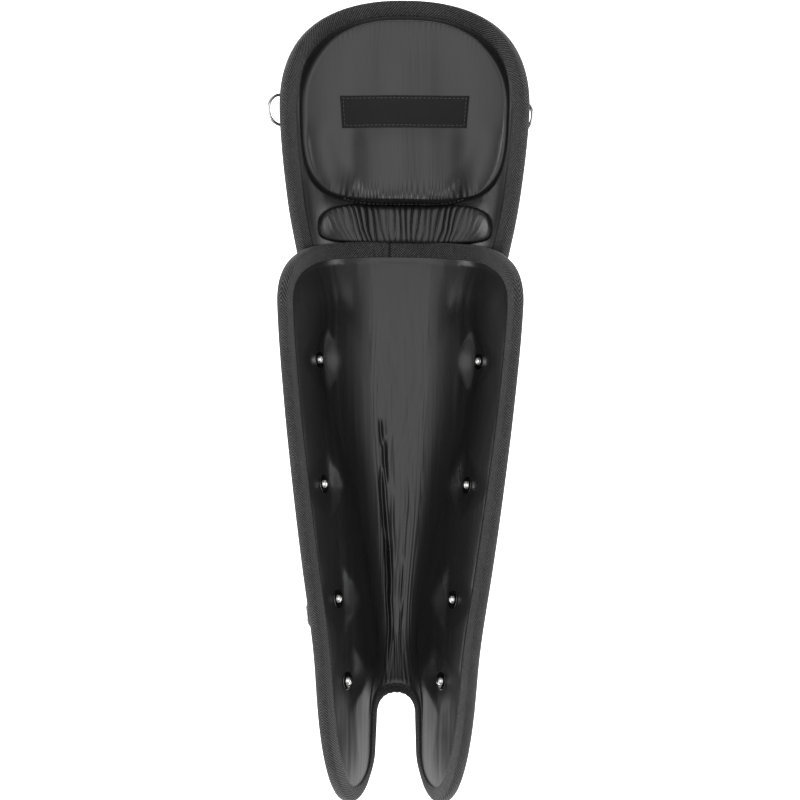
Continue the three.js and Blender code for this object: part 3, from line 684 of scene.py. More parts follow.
def centre_folds(across, y):
    """Creases of the lining: each a narrow bell cut along a swaying line, with a low ridge at its right."""
    depth = np.zeros(np.shape(across))
    for turn, (high_a, low_a, high_y, low_y, deep, half) in enumerate(FOLDS):
        share = np.clip((high_y - y) / (high_y - low_y), 0, 1)
        sway = FOLD["sway"] * np.sin(y / FOLD["sway_length"] + FOLD["phase"] * turn)
        off = (across - high_a - (low_a - high_a) * share - sway) / half
        ends = np.sin(np.pi * share) ** FOLD["end_power"]
        ridge = FOLD["ridge"] * bump(off - FOLD["ridge_off"], FOLD["ridge_half"])
        depth = depth + deep * ends * (bump(off, 1) - ridge)
    return depth


def streaks(across, y):
    """Fine ripples along the leg: a sum of sines across whose phase drifts slowly along the leg."""
    ripple = np.zeros(np.shape(across))
    for turn, (wave, height, drift, length) in enumerate(STREAKS):
        phase = 2 * np.pi * across / wave + drift * np.sin(y / length + STREAK["phase"] * turn)
        beat = y / (STREAK["swell_length"] * length) + across / STREAK["swell_across"]
        swell = 1 - STREAK["swell"] + STREAK["swell"] * np.sin(beat + STREAK["swell_phase"] * turn)
        ripple = ripple + height * swell * np.sin(phase)
    return ripple


def hem_puckers(across, y, inset):
    """Short gathers inside the top hem and the notch: a cosine along the hem that fades away from it."""
    beat = 2 * np.pi * across / PUCKER["pitch"] + PUCKER["sway"] * np.sin(across / PUCKER["sway_length"])
    at_top = smoothstep(y, *PUCKER["top_y"]) * smoothstep(np.abs(across), *PUCKER["top_across"])
    at_notch = PUCKER["notch"] * bump(across, PUCKER["notch_half"]) * (1 - smoothstep(y, *PUCKER["notch_y"]))
    fade = np.exp(-inset / PUCKER["reach"]) * np.minimum(1, inset / PUCKER["start"])
    return PUCKER["depth"] * (1 + np.cos(beat)) / 2 * (at_top + at_notch) * fade


def pressed_arcs(across, y):
    """Faint rings pressed in the upper lining: thin bells in the distance from a point on the top edge."""
    away = np.hypot(across, y - ARCS["y"])
    rings = sum(bump(away - radius, ARCS["half"]) for radius in ARCS["radii"])
    low = 1 - smoothstep(y, *ARCS["fade"])
    return ARCS["depth"] * rings * bump(across, ARCS["reach"]) * low


def puff(inset, part):
    """The part of a pad's swell that puffs up beside the tape, already partly risen at the hem line."""
    return edge_swell(inset + part["out"], part["height"], part["reach"])


def sine_fill(distance, reach):
    """A share that climbs from 0 at a hem to 1 by a quarter of a sine."""
    return np.sin(np.pi / 2 * np.clip(distance / reach, 0, 1))


def shin_lift(across, y, inset):
    """Thickness of the shin pad: its squeezed edge, the swell off it, less the pits, folds and puckers."""
    half = half_length(SHIN_SECTIONS, y) - TAPE_FACE
    beside = half - np.abs(across)
    below_top = np.maximum(0, shin_top(np.minimum(1, np.abs(across) / half)) - y)
    to_corner = smoothstep(np.abs(across), *FILL["corner_across"])
    top_reach = FILL["top"] + (FILL["corner"] - FILL["top"]) * to_corner
    upper = sine_fill(beside, FILL["side"]) * sine_fill(below_top, top_reach)
    lower = sine_fill(inset, FILL["side"])
    filled = lower + (upper - lower) * smoothstep(y, *FILL["upper_y"])
    thinned = 1 - PRONG["thin"] * smoothstep(-y, *PRONG["span"])
    swell = puff(inset, SHIN_PUFF) + (SHIN_SWELL - SHIN_PUFF["height"]) * filled * thinned
    middle = bump(across, MIDDLE_HALF) * swell / SHIN_SWELL
    soft = swell - rivet_valley(across, y) - middle * (centre_folds(across, y) + streaks(across, y))
    soft = soft - hem_puckers(across, y, inset) - pressed_arcs(across, y)
    pit = rivet_pits(across, y)
    return EDGE_THICK + soft * (1 - pit) + (SEAT_THICK - EDGE_THICK) * pit


def pad_body(sheet, shares, rises, lift):
    """A closed pad: a lifted inner skin and a plain outer one on one grid, joined under the tape.

    Each skin is place(across, y, lift) over the sheet's grid. Round the border both run on under the tape, at
    the squeezed thickness.
    """
    across, y = on_sheet(sheet, shares[:, None], rises[None])
    inset = hem_inset(hem_line(sheet, PAD_HEM_STEP), across, y)
    inner, outer = (place(sheet["table"], across, y, height) for height in (lift(across, y, inset), 0))
    loop = border_indices(*across.shape)
    border = {"across": across.ravel()[loop], "y": y.ravel()[loop]}
    border["out"] = off_loop(border["across"], border["y"], 1)
    reach = sheet["face"](border["across"], border["y"])[:, None] * np.array([HEM_START, FOLD_IN, FOLD_IN])
    edge = off_hem(sheet, border, reach, np.array([[EDGE_THICK + HEM_RISE, EDGE_THICK, 0]]))
    return between_skins(inner, outer, edge)


def both_sides(half):
    """A list of shares from 0 to 1, mirrored to run from -1 to 1."""
    return np.concatenate([-half[:0:-1], half])


def graded_shares(middle, even, crowding):
    """Shares from -1 to 1: evenly spaced over the middle, then crowding together outward by a sine."""
    outer = middle + (1 - middle) * np.sin(np.linspace(0, np.pi / 2, crowding + 1)[1:])
    return both_sides(np.concatenate([np.linspace(0, middle, even), outer]))


SHIN_SHARES = graded_shares(middle=0.2, even=34, crowding=48)
SHIN_RISES = np.concatenate([[0, 0.002, 0.005, 0.009], np.linspace(0.014, 0.986, 208),
                             [0.991, 0.995, 0.998, 1]])
shin_pad = make_piece("shin_pad_lining", *pad_body(SHIN, SHIN_SHARES, SHIN_RISES, shin_lift), VINYL,
                      SHIN["shift"])
dress(shin_pad, "vinyl", "shin_pad")


# Knee panel
KNEE_PUFF = {"height": 0.6, "reach": 4, "out": 2}


def knee_panel_lift(across, y, inset):
    """The panel is thin and even, and swells a little off its hem."""
    return EDGE_THICK + puff(inset, KNEE_PUFF)


KNEE_SHARES = graded_shares(middle=0.5, even=24, crowding=24)
KNEE_RISES = np.linspace(0, 1, 90)
knee_panel = make_piece("knee_panel_lining", *pad_body(KNEE, KNEE_SHARES, KNEE_RISES, knee_panel_lift), VINYL,
                        KNEE["shift"])
dress(knee_panel, "vinyl", "knee_panel")


# Binding tape
TAPE_BULGE = 1.6  # how far the fold stands out past the edge
TAPE_TURNS = 9  # points round the fold
# Shares of the way out from the hem, and how far the tape rises there
TAPE_SHARES = np.array([0.0, 0.05, 0.3, 0.55, 0.8])
TAPE_CROWN = np.array([-0.55, 0.0, 0.3, 0.35, 0.2])
TAPE_SPINE = len(TAPE_CROWN) + TAPE_TURNS // 2  # the middle point of the fold
TAPE_CLOSE = 1.0  # texture width of the tape's own edge
BUNCH = {"pitch": 6.3, "height": 0.25, "half": 17, "phase": 0.8}


def tape_profile(face, extra):
    """The tape's closed section as reaches and lifts for each step, thicker by an extra where it is doubled.

    Outside: from the hem on the leg side, out along that face, round the fold, and back along the other face;
    inside: the same way back, one thickness in.
    """
    face, extra = face[:, None], extra[:, None]
    top = EDGE_THICK + TAPE_EASE + TAPE_THICK + extra
    foot = -TAPE_EASE - TAPE_THICK - extra
    middle = (top + foot) / 2
    turn = np.linspace(np.pi / 2, -np.pi / 2, TAPE_TURNS)
    leg = face * (HEM_START + (1 - HEM_START) * TAPE_SHARES)
    fold = face + (TAPE_BULGE + extra) * np.cos(turn)
    reach = np.concatenate([leg, fold, leg[:, ::-1], leg[:, :1], face, face, leg[:, :1]], 1)
    inside = np.array([-TAPE_EASE, -TAPE_EASE, EDGE_THICK + TAPE_EASE, EDGE_THICK + TAPE_EASE])
    lift = np.concatenate([top + TAPE_CROWN, middle + (top - middle) * np.sin(turn), foot - TAPE_CROWN[::-1],
                           inside + 0 * face], 1)
    return reach, lift


def tape_body(sheet, wave=None, join=None):
    """The tape's profile carried round the hem line; texture places are (run along, distance off the spine).

    For each step of the hem line, wave moves the profile outward and join thickens it.
    """
    hem = hem_line(sheet, TAPE_STEP)
    extra = np.zeros(len(hem["y"])) if join is None else join(hem)
    reach, lift = tape_profile(hem["face"], extra)
    if wave is not None:
        reach = reach + wave(hem)[:, None]
    points = off_hem(sheet, hem, reach, lift)
    steps, around = reach.shape
    length = run_along(points[np.argmax(hem["face"])])
    length = np.append(length, length[-1] + TAPE_CLOSE)
    uv = sweep_uv(np.linspace(0, hem["length"], steps + 1), length - length[TAPE_SPINE])
    return points.reshape(-1, 3), grid_faces(steps, around, True, True), uv


def make_tape(name, sheet, node_name, wave=None, join=None):
    """A tape piece round a half's hem line, in place of its plain solid."""
    points, faces, uv = tape_body(sheet, wave, join)
    dress(make_piece(name, points, faces, TAPE, sheet["shift"], uv), "tape", node_name)


def notch_bunches(hem):
    """Bunches of the tape at the top of the notch: a sine along the hem under a bell."""
    at_notch = bump(hem["across"], BUNCH["half"]) * (hem["y"] < WING["outer_y"])
    return BUNCH["height"] * at_notch * np.sin(2 * np.pi * hem["across"] / BUNCH["pitch"] + BUNCH["phase"])


def tape_join(hem):
    """The tape's end laid over its start at the top: a step up along the hem that eases away behind it."""
    past = JOIN["across"] - hem["across"]
    doubled = smoothstep(past, 0, JOIN["edge"]) * (1 - smoothstep(past, JOIN["edge"], JOIN["fall"]))
    return JOIN["step"] * doubled * (hem["y"] > SHIN_TOP["y"])


make_tape("shin_edge_tape", SHIN, "shin_binding", notch_bunches, tape_join)
make_tape("knee_edge_tape", KNEE, "knee_binding")


# Rivets
# (radius, height) of a rivet's half-section, from the outer head to the tip of the cap
RIVET_SECTION = np.array([
    (0, -5.4), (2.4, -5.2), (4.4, -4.6), (5.4, -3.9), (5.4, -3.6), (2.2, -3.6), (2.2, 4.7), (6.2, 4.75),
    (6.5, 5.0), (6.35, 5.3), (5.6, 5.4), (3.3, 5.3), (3.1, 5.5), (3.0, 6.0), (2.8, 6.7), (2.4, 7.35),
    (1.8, 7.85), (1.2, 8.15), (0.6, 8.3), (0, 8.35),
])
RIVET_SIDES = 40
WASHER_ROWS = (6, 12)  # of the section, under the cap


def turned_body(section_pairs, sides):
    """A lathe: each (radius, height) pair carried round the axis; the first and the last lie on it."""
    turn = np.linspace(0, 2 * np.pi, sides, endpoint=False)
    radius, height = section_pairs[:, :1], section_pairs[:, 1:]
    points = np.stack([radius * np.cos(turn), radius * np.sin(turn), height + 0 * turn], -1)
    return points.reshape(-1, 3), pointed_faces(len(section_pairs), sides)


def on_wall(points, table, across, y):
    """Points made about +Z, set on the wall with +Z along its inward normal and x along the leg."""
    foot, round_way, leg_way, inward = wall_frame(table, across, y)
    return foot + points @ np.stack([leg_way, -round_way, inward])


rivet_points, rivet_faces = turned_body(RIVET_SECTION, RIVET_SIDES)
section_row = np.arange(len(rivet_faces)) // RIVET_SIDES
on_washer = (section_row >= WASHER_ROWS[0]) & (section_row < WASHER_ROWS[1])
for side_name, side, column in (("left", -1, 1), ("right", 1, 2)):
    for row, rivet_place in enumerate(RIVET_ROWS, 1):
        seated = on_wall(rivet_points, SHIN_SECTIONS, side * rivet_place[column], rivet_place[0])
        rivet = make_piece(f"rivet_{side_name}_{row}", seated, rivet_faces, NICKEL, SHIN["shift"])
        rivet.data.materials.append(WASHER)
        rivet.data.polygons.foreach_set("material_index", on_washer.astype(np.int32))
        dress(rivet, "nickel", f"shin_rivet_{side_name}_{row}")


# Knee cushion
CUSHION = {"y": 203, "half": 84.5, "rise": 65.5, "drop": 64, "up_power": 2.3, "down_power": 3.5}
CUSHION_CROWN = {"edge": 2.5, "rise": 21.5, "reach": 1.8, "top_fall": 11, "foot_fall": 2}
# Where the crown thins out to the lower corners
CUSHION_CORNER = {"thin": 0.75, "across": (34, 62), "down": (0, 25), "ring": (0.7, 1)}
CUSHION_FLOOR = EDGE_THICK + SEAT_EASE
SEAM_GATHER = {"pitch": 3.8, "depth": 1.0, "start": 1.5, "low_down": (34, 58), "low_across": (-66, -44),
               "low_reach": 6.0, "high": 0.25, "high_rise": (40, 58), "high_reach": 4.5}
SEAM_SWAYS = ((1.1, 5.3), (0.7, 2.9))  # of the gathers' beat: size, length
# Faint waves: height, length across, length along the leg, phase
CUSHION_WAVES = ((0.18, 8.4, math.inf, 0.7), (0.14, 4.1, 37, 0))
CUSHION_SOFT = {"inside": (0, 16), "down": (-30, 45), "least": 0.35, "streaks": 0.25,
                "step_inside": (0, 3), "step_down": (0, 30)}
# Soft steps down the cushion: across, half-width, height, and how far above its middle each begins
CUSHION_STEPS = np.array([(5, 10, -0.8, 60), (-41, 7, 2.0, 5), (47, 7, -2.0, 5)])
MIDDLE_RING = 1e-3  # the cushion's middle, where no direction leads inward
OUTLINE_FINE = 12001  # points of the seam before it is resampled
SEAM_POINTS = 900
TOP_RINGS = 60
UNDER_EVERY = 6  # the flat underside has every sixth ring


def cushion_half(rise):
    """The cushion's power and its length along the leg on the side, below or above its middle, of a rise."""
    low = rise < 0
    return (np.where(low, CUSHION["down_power"], CUSHION["up_power"]),
            np.where(low, CUSHION["drop"], CUSHION["rise"]))


def cushion_outline():
    """The cushion's seam as evenly spaced (across, rise) pairs: a superellipse, with two powers."""
    turn = np.linspace(0, 2 * np.pi, OUTLINE_FINE)
    c, s = np.cos(turn), np.sin(turn)
    power, high = cushion_half(s)
    radius = (np.abs(c) ** power + np.abs(s) ** power) ** (-1 / power)
    line = np.stack([radius * c * CUSHION["half"], radius * s * high], -1)
    run = run_along(line)
    return at_lengths(line, run, np.arange(SEAM_POINTS) * run[-1] / SEAM_POINTS).T


def cushion_ring(across, rise):
    """How far out a place on the cushion lies, from 0 in the middle to 1 on the seam."""
    power, high = cushion_half(rise)
    return (np.abs(across / CUSHION["half"]) ** power + np.abs(rise / high) ** power) ** (1 / power)


def seam_gathers(across, rise, inward):
    """Gathers: a cosine along the lower seam, and a fainter one along the upper, that fade inward."""
    low = smoothstep(-rise, *SEAM_GATHER["low_down"]) * np.exp(-inward / SEAM_GATHER["low_reach"])
    low = low * smoothstep(-np.abs(across), *SEAM_GATHER["low_across"])
    high = SEAM_GATHER["high"] * smoothstep(rise, *SEAM_GATHER["high_rise"])
    high = high * np.exp(-inward / SEAM_GATHER["high_reach"])
    sway = sum(size * np.sin(across / length) for size, length in SEAM_SWAYS)
    beat = np.cos(2 * np.pi * across / SEAM_GATHER["pitch"] + sway)
    return SEAM_GATHER["depth"] * beat * (low + high) * np.minimum(1, inward / SEAM_GATHER["start"])


def cushion_waves(across, rise, inward):
    """Faint waves and streaks, sums of sines, less the steps: each a tanh across, eased in downward."""
    waves = sum(height * np.sin(across / wide + rise / tall + phase)
                for height, wide, tall, phase in CUSHION_WAVES)
    least = CUSHION_SOFT["least"]
    waves = waves * (least + (1 - least) * smoothstep(-rise, *CUSHION_SOFT["down"]))
    waves = waves + CUSHION_SOFT["streaks"] * streaks(across, rise)
    waves = waves * smoothstep(inward, *CUSHION_SOFT["inside"])
    near_seam = smoothstep(inward, *CUSHION_SOFT["step_inside"])
    for step_across, half, height, start in CUSHION_STEPS:
        eased = near_seam * smoothstep(start - rise, *CUSHION_SOFT["step_down"])
        waves = waves - height * np.tanh((across - step_across) / half) * eased
    return waves


def cushion_lift(across, rise):
    """The cushion's height: a broad crown that stops short and steep at the seam, less gathers and waves.

    The crown is (rise - fall v^2)(1 - u^2) for u across and v along the leg, thinner out to the lower
    corners, and a quarter round takes it down at the seam.
    """
    ring = np.minimum(1, cushion_ring(across, rise))
    inward = (1 - ring) * np.hypot(across, rise) / np.maximum(ring, MIDDLE_RING)
    inward = np.where(ring < MIDDLE_RING, CUSHION["rise"], inward)
    u = np.minimum(1, np.abs(across) / CUSHION["half"])
    v = rise / cushion_half(rise)[1]
    fall = np.where(rise < 0, CUSHION_CROWN["foot_fall"], CUSHION_CROWN["top_fall"])
    corner = smoothstep(np.abs(across), *CUSHION_CORNER["across"]) * smoothstep(ring, *CUSHION_CORNER["ring"])
    thinned = 1 - CUSHION_CORNER["thin"] * corner * smoothstep(-rise, *CUSHION_CORNER["down"])
    crown = CUSHION_CROWN["edge"] + (CUSHION_CROWN["rise"] - fall * v**2) * (1 - u**2) * thinned
    dome = edge_swell(inward, crown, CUSHION_CROWN["reach"])
    return CUSHION_FLOOR + dome - seam_gathers(across, rise, inward) - cushion_waves(across, rise, inward)


def cushion_body():
    """A closed cushion: rings from its middle out to the seam, lifted on top and flat underneath."""
    rings = np.sin(np.linspace(0, np.pi / 2, TOP_RINGS + 1)[1:])
    across, rise = (np.outer(rings, values) for values in cushion_outline())
    under_across, under_rise = across[::-UNDER_EVERY], rise[::-UNDER_EVERY]
    middle = np.zeros(1)
    parts = [place(KNEE_SECTIONS, a, CUSHION["y"] + r, lift).reshape(-1, 3) for a, r, lift in (
        (across, rise, cushion_lift(across, rise)), (under_across, under_rise, CUSHION_FLOOR),
        (middle, middle, cushion_lift(middle, middle)), (middle, middle, CUSHION_FLOOR))]
    total = len(across) + len(under_across)
    k = np.arange(SEAM_POINTS)
    following = (k + 1) % SEAM_POINTS
    last = (total - 1) * SEAM_POINTS
    tip = np.full(SEAM_POINTS, total * SEAM_POINTS)
    return np.concatenate(parts), np.concatenate([
        grid_faces(total, SEAM_POINTS, False, True), np.stack([tip, tip, following, k], -1),
        np.stack([last + k, last + following, tip + 1, tip + 1], -1)])


cushion = make_piece("knee_cushion_cover", *cushion_body(), VINYL, KNEE["shift"])
dress(cushion, "vinyl", "knee_cushion")


# Gathered roll
ROLL = {"y": 120.5, "half": 69.5, "up": 20, "up_power": 3, "down": 9.5, "down_power": 4, "least": 0.1,
        "aside": 2, "crown": 11, "crown_half": 0.6, "end": 2.6, "fall": 1.4, "edge_power": 7, "end_power": 16}
ROLL_GRID = (561, 41)
ROLL_CROWD = 0.35  # how much the grid crowds together towards the roll's ends
SEAM_ROOM = 0.5  # between the cushion and the roll
GATHER = {"pitch": 4.6, "depth": 2.6, "half": 50, "fan": 0.12, "end_power": 6, "uneven": 0.3,
          "uneven_length": 5.1, "uneven_phase": 1.3, "foot": 0.55, "fade": (-0.8, 0.8)}
ROLL_SWAYS = ((0.22, 6.7, 0), (0.12, 2.7, 2))  # of the gathers' phase: size, length, drift up the roll


def crowded(count):
    """Shares from -1 to 1 that crowd together towards both ends, by a sine."""
    return np.sin(np.linspace(-np.pi / 2, np.pi / 2, count))


def cushion_foot(across):
    """The y of the cushion's lower seam, by its superellipse."""
    return CUSHION["y"] - CUSHION["drop"] * quarter(across / CUSHION["half"], CUSHION["down_power"])


def roll_lift(share, up):
    """The roll's height: a flat-topped dome both ways, cut by gathers that fan in towards the foot.

    A gather's phase runs with the distance across, shrunk downward; its valley (1 - |sin|)^2 is narrow
    between round ridges.
    """
    tall = ROLL["end"] + ROLL["crown"] * bump(share, ROLL["crown_half"]) - ROLL["fall"] * ((1 - up) / 2) ** 2
    dome = quarter(up, ROLL["edge_power"]) * quarter(share, ROLL["end_power"])
    fanned = share * ROLL["half"] / (1 + GATHER["fan"] * up)
    sway = sum(size * np.sin(fanned / length + drift * up) for size, length, drift in ROLL_SWAYS)
    valley = (1 - np.abs(np.sin(np.pi * (fanned / GATHER["pitch"] + sway)))) ** 2
    beat = np.sin(fanned / GATHER["uneven_length"] + GATHER["uneven_phase"])
    uneven = 1 - GATHER["uneven"] + GATHER["uneven"] * beat
    middle = np.exp(-((fanned / GATHER["half"]) ** GATHER["end_power"]))
    low = GATHER["foot"] + (1 - GATHER["foot"]) * smoothstep(up, *GATHER["fade"])
    return CUSHION_FLOOR + dome * (tall - GATHER["depth"] * valley * uneven * middle * low)


def roll_body():
    """A closed roll on a grid of shares across and up; its outline is a superellipse with two powers."""
    columns, rows = ROLL_GRID
    share = ROLL_CROWD * crowded(columns) + (1 - ROLL_CROWD) * np.linspace(-1, 1, columns)
    share, up = share[:, None], crowded(rows)[None]
    across = ROLL["aside"] + share * ROLL["half"] + 0 * up
    above = ROLL["up"] * np.maximum(ROLL["least"], quarter(share, ROLL["up_power"]))
    above = np.minimum(above, cushion_foot(across) - SEAM_ROOM - ROLL["y"])
    below = ROLL["down"] * np.maximum(ROLL["least"], quarter(share, ROLL["down_power"]))
    y = ROLL["y"] + np.where(up > 0, up * above, up * below)
    lifts = roll_lift(share, up), CUSHION_FLOOR
    return between_skins(*(place(KNEE_SECTIONS, across, y, lift) for lift in lifts))


roll = make_piece("knee_roll_cover", *roll_body(), VINYL, KNEE["shift"])
dress(roll, "vinyl", "knee_roll")


# Patch
PATCH = {"aside": -0.4, "half": 55, "rise": 11.4, "thick": 1.0, "flare": 0.012, "tilt": 0.009,
         "back": 0.05, "edge": 0.15, "edge_reach": 1.2}
PATCH_GRID = (161, 61)


def patch_places(share, up):
    """The patch's (across, rise) places: a rectangle, a little wider at its top and a little turned."""
    across = PATCH["aside"] + PATCH["half"] * share * (1 + PATCH["flare"] * up)
    return across, PATCH["rise"] * up + PATCH["tilt"] * across


def patch_lift(share, up):
    """The patch lies on the cushion; its top is rounded over at the border by a quarter round."""
    across, rise = patch_places(share, up)
    inset = np.minimum((1 - np.abs(share)) * PATCH["half"], (1 - np.abs(up)) * PATCH["rise"])
    return cushion_lift(across, rise) + PATCH["edge"] + edge_swell(inset, PATCH["thick"], PATCH["edge_reach"])


def patch_body():
    """A closed woven patch on a grid, its top skin joined to a back that lies on the cushion."""
    share, up = crowded(PATCH_GRID[0])[:, None], crowded(PATCH_GRID[1])[None]
    across, rise = patch_places(share, up)
    lifts = patch_lift(share, up), cushion_lift(across, rise) + PATCH["back"]
    return between_skins(*(place(KNEE_SECTIONS, across, CUSHION["y"] + rise, lift) for lift in lifts))


dress(make_piece("knee_patch_cloth", *patch_body(), WEAVE, KNEE["shift"]), "patch", "knee_patch")


# Hard shells
SHELL_GAP = 0.3
SHELL_BULGE = 1.5  # how far the middle of a shell's rounded edge stands out
SHELL_TURNS = 6  # points from face to face round that edge
RIB = {"half": 13, "edge": 4, "low": -178, "high": -12, "end": 10}
# Shares across and along that each shell covers
SHIN_SHELL_GRID = (both_sides(np.concatenate([np.linspace(0, 0.2, 20), np.linspace(0.2, 0.88, 30)[1:]])),
                   np.linspace(0.08, 0.87, 120))
KNEE_SHELL_GRID = (both_sides(np.linspace(0, 0.82, 40)), np.linspace(0.08, 0.92, 80))


def centre_rib(across, y):
    """The share by which the shin shell is drawn down to the floor: a flat rib with smooth flanks."""
    on_rib = 1 - smoothstep(np.abs(across), RIB["half"] - RIB["edge"], RIB["half"])
    on_rib = on_rib * smoothstep(y, RIB["low"] - RIB["end"], RIB["low"])
    return on_rib * (1 - smoothstep(y, RIB["high"], RIB["high"] + RIB["end"]))


def plate_body(sheet, shares, rises, drawn=None):
    """A closed plate outside a sheet, between two faces on one grid, with a rounded edge.

    The edge is a half round between the faces; drawn gives the share by which the outside goes down to z = 0.
    """
    across, y = on_sheet(sheet, shares[:, None], rises[None])
    lifts = -SHELL_GAP, -SHELL_GAP - SHELL_THICK
    inner, outer = (place(sheet["table"], across, y, lift) for lift in lifts)
    if drawn is not None:
        outer[..., 2] = outer[..., 2] * (1 - drawn(across, y))
    loop = border_indices(*across.shape)
    inner_end, outer_end = (skin.reshape(-1, 3)[loop] for skin in (inner, outer))
    middle, half = (inner_end + outer_end) / 2, (inner_end - outer_end) / 2
    off = unit(np.cross(np.roll(middle, -1, axis=0) - np.roll(middle, 1, axis=0), half))
    turn = np.linspace(0, np.pi, SHELL_TURNS)[1:-1, None]
    edge = middle[:, None] + half[:, None] * np.cos(turn) + SHELL_BULGE * off[:, None] * np.sin(turn)
    return between_skins(inner, outer, edge)


for shell_name, sheet, grid, drawn in (("shin_shell", SHIN, SHIN_SHELL_GRID, centre_rib),
                                       ("knee_shell", KNEE, KNEE_SHELL_GRID, None)):
    shell = make_piece(f"{shell_name}_plate", *plate_body(sheet, *grid, drawn), PLASTIC, sheet["shift"])
    dress(shell, "shell", shell_name)


# Strap rings and their webbing tabs
# half, side, y along the leg, bar above the hem line, bar's stand off the wall, tab length, lean in degrees
RINGS = {
    "knee_left": (KNEE, -1, 203.5, 2, 4.6, 15, 8),
    "knee_right": (KNEE, 1, 201, -3.5, 3.5, 11, 0),
    "shin_left": (SHIN, -1, -147, -4.5, 3.6, 5, 0),
}
RING = {"wire": 1.3, "half": 10.6, "straight": 5, "corner": 1.8}
RING_POINTS = {"corner": 7, "bow": 33, "bar": 11, "wire": 16}
TAB = {"half": 8.6, "thick": 1.2, "bore": 1.6, "ease": 0.97}
TAB_POINTS = {"tail": 14, "bend": 15, "edge": 5}


def swept_loop(path, section_pairs):
    """A closed profile of (inward, up) pairs carried round a closed flat path in the xy plane."""
    inward = -off_loop(*path.T, 1)
    flat = path[:, None] + inward[:, None] * section_pairs[None, :, :1]
    up = np.broadcast_to(section_pairs[None, :, 1:], (*flat.shape[:2], 1))
    points = np.concatenate([flat, up], -1).reshape(-1, 3)
    return points, grid_faces(len(path), len(section_pairs), True, True)


def ring_path():
    """A wire D: a straight bar at x = 0 with two small round corners, short straights and a half circle."""
    corner, half, straight = RING["corner"], RING["half"], RING["straight"]
    turn = np.linspace(0, np.pi / 2, RING_POINTS["corner"])[:, None]
    bow = np.linspace(-np.pi / 2, np.pi / 2, RING_POINTS["bow"])[:, None]
    bar = np.linspace(half - corner, corner - half, RING_POINTS["bar"])[1:-1, None]
    low = np.hstack([corner - corner * np.cos(turn), corner - half - corner * np.sin(turn)])
    arc = np.hstack([straight + half * np.cos(bow), half * np.sin(bow)])
    high = np.hstack([corner - corner * np.sin(turn), half - corner + corner * np.cos(turn)])
    return np.concatenate([low, arc, high, np.hstack([0 * bar, bar])])


def round_wire():
    """The wire's round section, as (inward, up) pairs."""
    turn = np.linspace(0, 2 * np.pi, RING_POINTS["wire"], endpoint=False)
    return RING["wire"] * np.stack([np.cos(turn), np.sin(turn)], -1)


def tab_path(tail, stand):
    """The middle line of a webbing strip, as (x, z): in along the wall, round the ring's bar, and back."""
    round_bar = TAB["bore"] + TAB["thick"] / 2
    wall_layer = stand - SEAT_EASE - TAB["thick"] / 2
    turn = np.linspace(np.pi / 2, -np.pi / 2, TAB_POINTS["bend"])[:, None]
    share = np.linspace(0, 1, TAB_POINTS["tail"])[:, None]
    eased = smoothstep(share, 0, 1)
    going = np.hstack([-tail * (1 - share), wall_layer + (round_bar - wall_layer) * eased])
    bend = round_bar * np.hstack([np.cos(turn), np.sin(turn)])
    low_layer = wall_layer - TAB["thick"]
    coming = np.hstack([-tail * share, -round_bar + (low_layer + round_bar) * eased])
    return np.concatenate([going[:-1], bend, coming[1:]])


def tab_body(tail, stand):
    """A flat strip of webbing carried along the tab's path, with rounded edges, and texture places in mm."""
    path = tab_path(tail, stand)
    tangent = unit(np.gradient(path, axis=0))
    normal = np.stack([-tangent[:, 1], tangent[:, 0]], -1)
    turn = np.linspace(-np.pi / 2, np.pi / 2, TAB_POINTS["edge"])
    thick, side = TAB["thick"] / 2 * TAB["ease"], TAB["half"] - TAB["thick"] / 2
    width = np.concatenate([side + thick * np.cos(turn), -side - thick * np.cos(turn)])
    depth = np.concatenate([thick * np.sin(turn), thick * np.sin(turn)[::-1]])
    x = path[:, :1] + normal[:, :1] * depth
    z = path[:, 1:] + normal[:, 1:] * depth
    points = np.stack([x, np.broadcast_to(width, x.shape), z], -1)
    steps, around = x.shape
    faces = grid_faces(steps, around, False, True)
    uv = sweep_uv(run_along(path), np.append(width, width[0]))
    k = np.arange(around // 2 - 1)
    caps = np.stack([k, k + 1, around - 2 - k, around - 1 - k], -1)
    far = caps + (steps - 1) * around
    flat_uv = np.zeros((2 * len(caps), 4, 2))
    return points.reshape(-1, 3), np.concatenate([faces, caps[:, ::-1], far]), np.concatenate([uv, flat_uv])


ring_points, ring_faces = swept_loop(ring_path(), round_wire())
for name, (sheet, side, ring_y, bar, stand, tail, lean) in RINGS.items():
    ring_across = side * (half_length(sheet["table"], ring_y) - TAPE_FACE + bar)
    foot, round_way, _, inward = wall_frame(sheet["table"], ring_across, ring_y)
    axes = np.stack([side * round_way, np.cross(inward, side * round_way), inward])
    at = foot - stand * inward
    c, s = math.cos(math.radians(lean)), math.sin(math.radians(lean))
    leaning = np.array([[c, 0, -s], [0, 1, 0], [s, 0, c]])
    ring_at = at + ring_points @ leaning @ axes
    ring = make_piece(f"strap_ring_{name}", ring_at, ring_faces, NICKEL, sheet["shift"])
    dress(ring, "nickel", f"ring_{name}")
    tab_points, tab_faces, tab_uv = tab_body(tail, stand)
    tab = make_piece(f"strap_tab_{name}", at + tab_points @ axes, tab_faces, TAPE, sheet["shift"], tab_uv)
    dress(tab, "tape", f"tab_{name}")


# Stitches
STITCH = {"pitch": 3.0, "length": 2.3, "radius": 0.34, "rings": 6, "sides": 6}
LOOK_AHEAD = 0.4  # along a line, to find its direction
LOOK_UP = 1.0  # above it, to find which way is up
NOT_ZERO = 1e-9  # keeps a direction from having no length
TAPE_SEAM = {"in": 1.3, "most": 0.2, "above": 0.12}  # most is a share of the tape's face
COVER_SEAM = {"above": 11.5, "half": 52, "points": 200}  # between the cushion and the roll
BORDER = {"in": 1.9, "above": 0.1, "points": 60}  # on the patch, in from its edge


